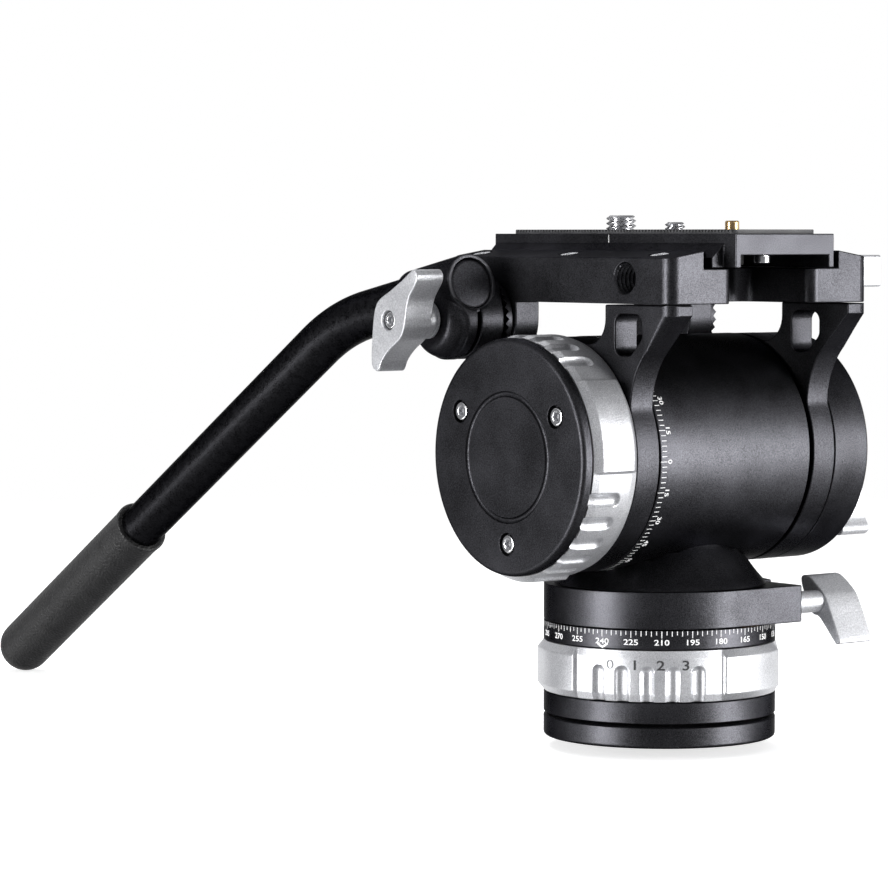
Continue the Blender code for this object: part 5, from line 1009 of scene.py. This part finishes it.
FORE_SLOPE, AFT_SLOPE = 11.2, 31.9
FORE, AFT = sloped(FORE_SLOPE), sloped(AFT_SLOPE)
PIVOT = np.array([-55.0, *HINGE])
TUBE_RISE = 9.3
SLEEVE = PIVOT + TUBE_RISE * FORE[1] - 11.7 * FORE[2]
CORNER = SLEEVE + 69.4 * FORE[2]


def soft_min(a, b, k):
    """Smaller of two distances, with a fillet: less a parabola where they differ by less than k."""
    return np.minimum(a, b) - np.clip(k - np.abs(a - b), 0, None) ** 2 / (4 * k)


def soft_max(a, b, k):
    """Larger of two distances, with the edge between them rounded off."""
    return -soft_min(-a, -b, k)


def clamp_field(p):
    """Distance to the clamp, for points (x, up, along) from the hinge.

    Seen along the tube it is a keyhole: a circle about the tube with a straight stem below, filleted. Seen from the
    side the stem ends in a round about the hinge, and the circle runs the sleeve's whole length.
    """
    x, up, along = p[..., 0], p[..., 1], p[..., 2]
    ring = np.hypot(x, up - TUBE_RISE)
    beside, below = np.abs(x - 3.6) - 7.1, np.abs(up + 3) - 12
    stem = np.hypot(np.maximum(beside, 0), np.maximum(below, 0)) + np.minimum(np.maximum(beside, below), 0)
    keyhole = soft_min(ring - 9.4, stem, 4.0)
    hub = np.hypot(up, along)
    length = np.maximum(np.abs(along - 2.3) - 14, -0.4 - up)
    solid = soft_max(keyhole, soft_min(length, hub - 12.5, 0.8), 0.6)
    dome = 7.4 + 4.9 * np.sqrt(np.clip(1 - (np.clip(-2 - x, 0, 7) / 7.2) ** 2, 0, None))
    solid = soft_min(solid, soft_max(hub - dome, np.abs(x + 4) - 5, 0.6), 0.8)
    bore = soft_min(ring - np.clip(7.7 + (-11.2 - along) * 1.2, 7.7, 8.4), hub - 3.3, 0.01)
    slit = np.maximum(np.abs(x - 1.0) - 0.8, up - 5)
    return soft_max(solid, -soft_min(bore, slit, 0.01), 0.35)


def net(field, low, high, step):
    """Closed surface where a field is zero.

    Every cell of a grid that the surface crosses gets one point, which slides along the field's slope until the
    field is zero there. Every grid edge with ends on both sides gets a quad between the four cells round it.
    """
    steps = [np.arange(a, b + step, step) for a, b in zip(low, high)]
    inside = field(np.stack(np.meshgrid(*steps, indexing="ij"), -1)) < 0
    count = sum(inside[i:i - 1 or None, j:j - 1 or None, k:k - 1 or None].astype(int)
                for i in (0, 1) for j in (0, 1) for k in (0, 1))
    mixed = (count > 0) & (count < 8)
    index = np.full(mixed.shape, -1)
    index[mixed] = np.arange(mixed.sum())
    points = (np.argwhere(mixed) + 0.5) * step + np.array(low)
    for _ in range(6):
        value = field(points)
        gradient = np.stack([field(points + shift) - value for shift in np.eye(3) * 1e-4], -1) / 1e-4
        points -= gradient * (value / (gradient ** 2).sum(-1).clip(0.2, None))[:, None]
    faces = []
    for turn in range(3):
        order = (turn, (turn + 1) % 3, (turn + 2) % 3)
        side, cell = np.moveaxis(inside, order, (0, 1, 2)), np.moveaxis(index, order, (0, 1, 2))
        i, j, k = np.nonzero(side[:-1, 1:-1, 1:-1] != side[1:, 1:-1, 1:-1])
        faces.append(np.stack([cell[i, j, k], cell[i, j + 1, k], cell[i, j + 1, k + 1], cell[i, j, k + 1]], -1))
    return points, np.concatenate(faces)


points, faces = net(clamp_field, (-10.3, -13.6, -13.6), (11.9, 20.0, 17.4), 0.36)
piece("clamp_casting", [(laid(points, (FORE, PIVOT)), faces)], black_cast, "handle", "handle_clamp", sharp=60)
MOUTH = FORE, SLEEVE
cap = soft_corners([(0, -0.4), (6.9, 0.15), (7.55, 0.5), (7.55, 3), (0, 3)], [0, 0.8, 0.2, 0, 0], closed=False)
piece("end_cap", [turned(cap, MOUTH, 96)], black_cap, "handle", "tube_end_cap")
lip = soft_corners([(8.0, 0.6), (8.0, -0.12), (9.0, -0.12), (9.3, 0.25), (9.3, 0.6)], [0, 0.15, 0.25, 0.2, 0], 4, False)
piece("sleeve_lip", [turned(np.concatenate([lip, lip[:1]]), MOUTH, 96)], dark_steel, "handle")

# %% [markdown]
# ## Tube and grip
#
# The tube is one profile carried along its path: a straight, a bend about a centre below the corner, and a second
# straight. The rubber grip is turned about the second straight and ends in a half sphere.

# %% Tube and grip
def tube_path(radius=82, steps=24):
    """Centres and slopes along the tube. The bend's radius touches both straights, so it starts a tangent's length
    before the corner: the radius times the tangent of half the angle between them."""
    slopes = np.radians(np.linspace(FORE_SLOPE, AFT_SLOPE, steps + 1))
    centre = CORNER - FORE[2] * radius * math.tan((slopes[-1] - slopes[0]) / 2) - FORE[1] * radius
    bend = centre + radius * np.stack([0 * slopes, np.sin(slopes), np.cos(slopes)], -1)
    centres = np.concatenate([[SLEEVE + 3.3 * FORE[2]], bend, [CORNER + 215.8 * AFT[2]]])
    return centres, np.concatenate([slopes[:1], slopes, slopes[-1:]])


centres, slopes = tube_path()
around = np.arange(72)[:, None] * TAU / 72
up = np.stack([0 * slopes, np.sin(slopes), np.cos(slopes)], -1)[:, None]
spokes = np.cos(around) * (1, 0, 0) + np.sin(around) * up
outer, inner = centres[:, None] + 7.75 * spokes, centres[:, None] + 6.25 * spokes
loop = np.concatenate([outer, inner[::-1], outer[:1]])
piece("bent_tube", [(loop.reshape(-1, 3), grid_faces(len(loop), 72))], black_tube, "handle", "handle_tube")
edge = soft_corners([(7.85, 0), (9.7, 0), (9.4, 4.5)], [0, 0.8, 6], 6, closed=False)
profile = np.concatenate([[(0, 76.9), (7.85, 76.9)], edge, arc((0, 92.4), 9.4, 0, 90, 24)[:-1], [(0, 101.8)]])
piece("rubber_grip", [turned(profile, (AFT, CORNER + 140.2 * AFT[2]), 96)], grip_rubber, "handle", "handle_grip")

hub = [(3.3, -64.3), (5.6, -64.3), (5.9, -64.6), (5.9, -65.3), (5.3, -65.5), (5.3, -66), (5.9, -66.2), (5.9, -74),
       (3.3, -74)]
wing("handle_wing", BROAD_WING, 16.5, 0, -80.4, -70, hub, (0, *HINGE), "handle_wing", "handle_lever", [circle(3.0)])
cap_screw("wing_cap_screw", 2.6, 1.35, 3.0, 2.0, 6.0, (FACE_LEFT, (-79.7, *HINGE)), "handle_wing",
          "handle_lever_screw")

# %% [markdown]
# ## Scales
#
# Scales are engraved and filled with paint. A decal would need an image, so each tick is a small face and each number a
# text outline, both laid on the cylinder a few hundredths of a millimetre above its skin.

# %% Scales
def on_cylinder(flat, radius, place):
    """Flat (turn in mm along the circumference, height) points rolled onto a cylinder, just above its skin."""
    angle, reach = flat[:, 0] / radius, radius + 0.03
    return laid(np.stack([reach * np.cos(angle), reach * np.sin(angle), flat[:, 1]], -1), place)


def ticks(angles, lengths, top, radius, width, place):
    """One quad for each degree mark, hanging from a line round the cylinder by its own length."""
    middle = np.radians(angles) * radius
    corners = [(middle + a * width / 2, top - b * lengths) for a, b in ((-1, 0), (1, 0), (1, 1), (-1, 1))]
    flat = np.stack([np.stack(corner, -1) for corner in corners], 1).reshape(-1, 2)
    return on_cylinder(flat, radius, place), np.arange(len(flat)).reshape(-1, 4)


def numerals(labels, size, height, radius, place):
    """Texts round a cylinder: labels are (text, angle in degrees). Each is a filled outline, widened by 1.3."""
    sheets = []
    for words, angle in labels:
        curve = bpy.data.curves.new("numeral", "FONT")
        curve.body, curve.size, curve.resolution_u, curve.offset = words, size, 3, 0.016 * size
        curve.align_x, curve.align_y = "CENTER", "CENTER"
        holder = bpy.data.objects.new("numeral", curve)
        mesh = bpy.data.meshes.new_from_object(holder)
        points = np.empty(len(mesh.vertices) * 3)
        mesh.vertices.foreach_get("co", points)
        flat = points.reshape(-1, 3)[:, :2] * (1.3, 1) + (math.radians(angle) * radius, height)
        mesh.calc_loop_triangles()
        faces = np.array([triangle.vertices[:] for triangle in mesh.loop_triangles])
        sheets.append((on_cylinder(flat, radius, place), faces))
        bpy.data.objects.remove(holder)
        bpy.data.curves.remove(curve)
        bpy.data.meshes.remove(mesh)
    return sheets


def print_on(name, sheets, finish, body):
    """Piece of flat ink: no welding, since its faces lie open on another piece."""
    finished(name, mesh_of(name, sheets), finish, body)


# Turns in degrees: where both scales have their zero, and the side of the pan base that the camera sees.
PAN_ZERO, TILT_ZERO, SEEN_SIDE = 79.9, 181.2, -131.3
values = np.arange(0, 360, 2.5)
lengths = np.where(values % 15 == 0, 2.1, np.where(values % 5 == 0, 1.6, 1.2))
labels = [(str(value), PAN_ZERO - value) for value in range(0, 360, 15)]
print_on("pan_scale_ink", [ticks(PAN_ZERO - values, lengths, 36.3, BODY_RADIUS, 0.26, UPRIGHT),
                           *numerals(labels, 2.45, 32.75, BODY_RADIUS, UPRIGHT)], white_ink, "base")
pointer = np.array([(-1.9, 1.28), (-1.25, 1.28), (0, 0.496), (1.25, 1.28), (1.9, 1.28), (1.9, 0.88), (0, -0.32),
                    (-1.9, 0.88)]) + (math.radians(-160) * BODY_RADIUS, 30.85)
print_on("pan_pointer_ink", [(on_cylinder(pointer, BODY_RADIUS + 0.02, UPRIGHT), filled([pointer]))], white_ink, "base")
figures = [("1", SEEN_SIDE - 11.6), ("2", SEEN_SIDE + 0.7), ("3", SEEN_SIDE + 12.7)]
print_on("drag_ink", numerals(figures, 4.2, 25.7, 37.22, UPRIGHT), dark_ink, "pan_ring")
print_on("drag_zero_ink", numerals([("0", SEEN_SIDE - 23.9)], 4.2, 25.7, 37.22, UPRIGHT), pale_ink, "pan_ring")

values = np.arange(-90, 92.5, 2.5)
lengths = np.where(values % 15 == 0, 2.5, 1.9)
labels = [(str(abs(value)), TILT_ZERO + value) for value in range(-75, 90, 15)]
print_on("tilt_scale_ink", [ticks(TILT_ZERO + values, lengths, -29.1, BODY_RADIUS, 0.22, TILT_AXIS),
                            *numerals(labels, 2.2, -28.05, BODY_RADIUS, TILT_AXIS)], white_ink, "pan_unit")
mark = np.array([(1.25, 154.9), (1.55, 154.9), (1.55, 157.4), (1.25, 157.4)])
print_on("plate_centre_ink", [panel([mark], -20.23, ACROSS)], white_ink, "plate")
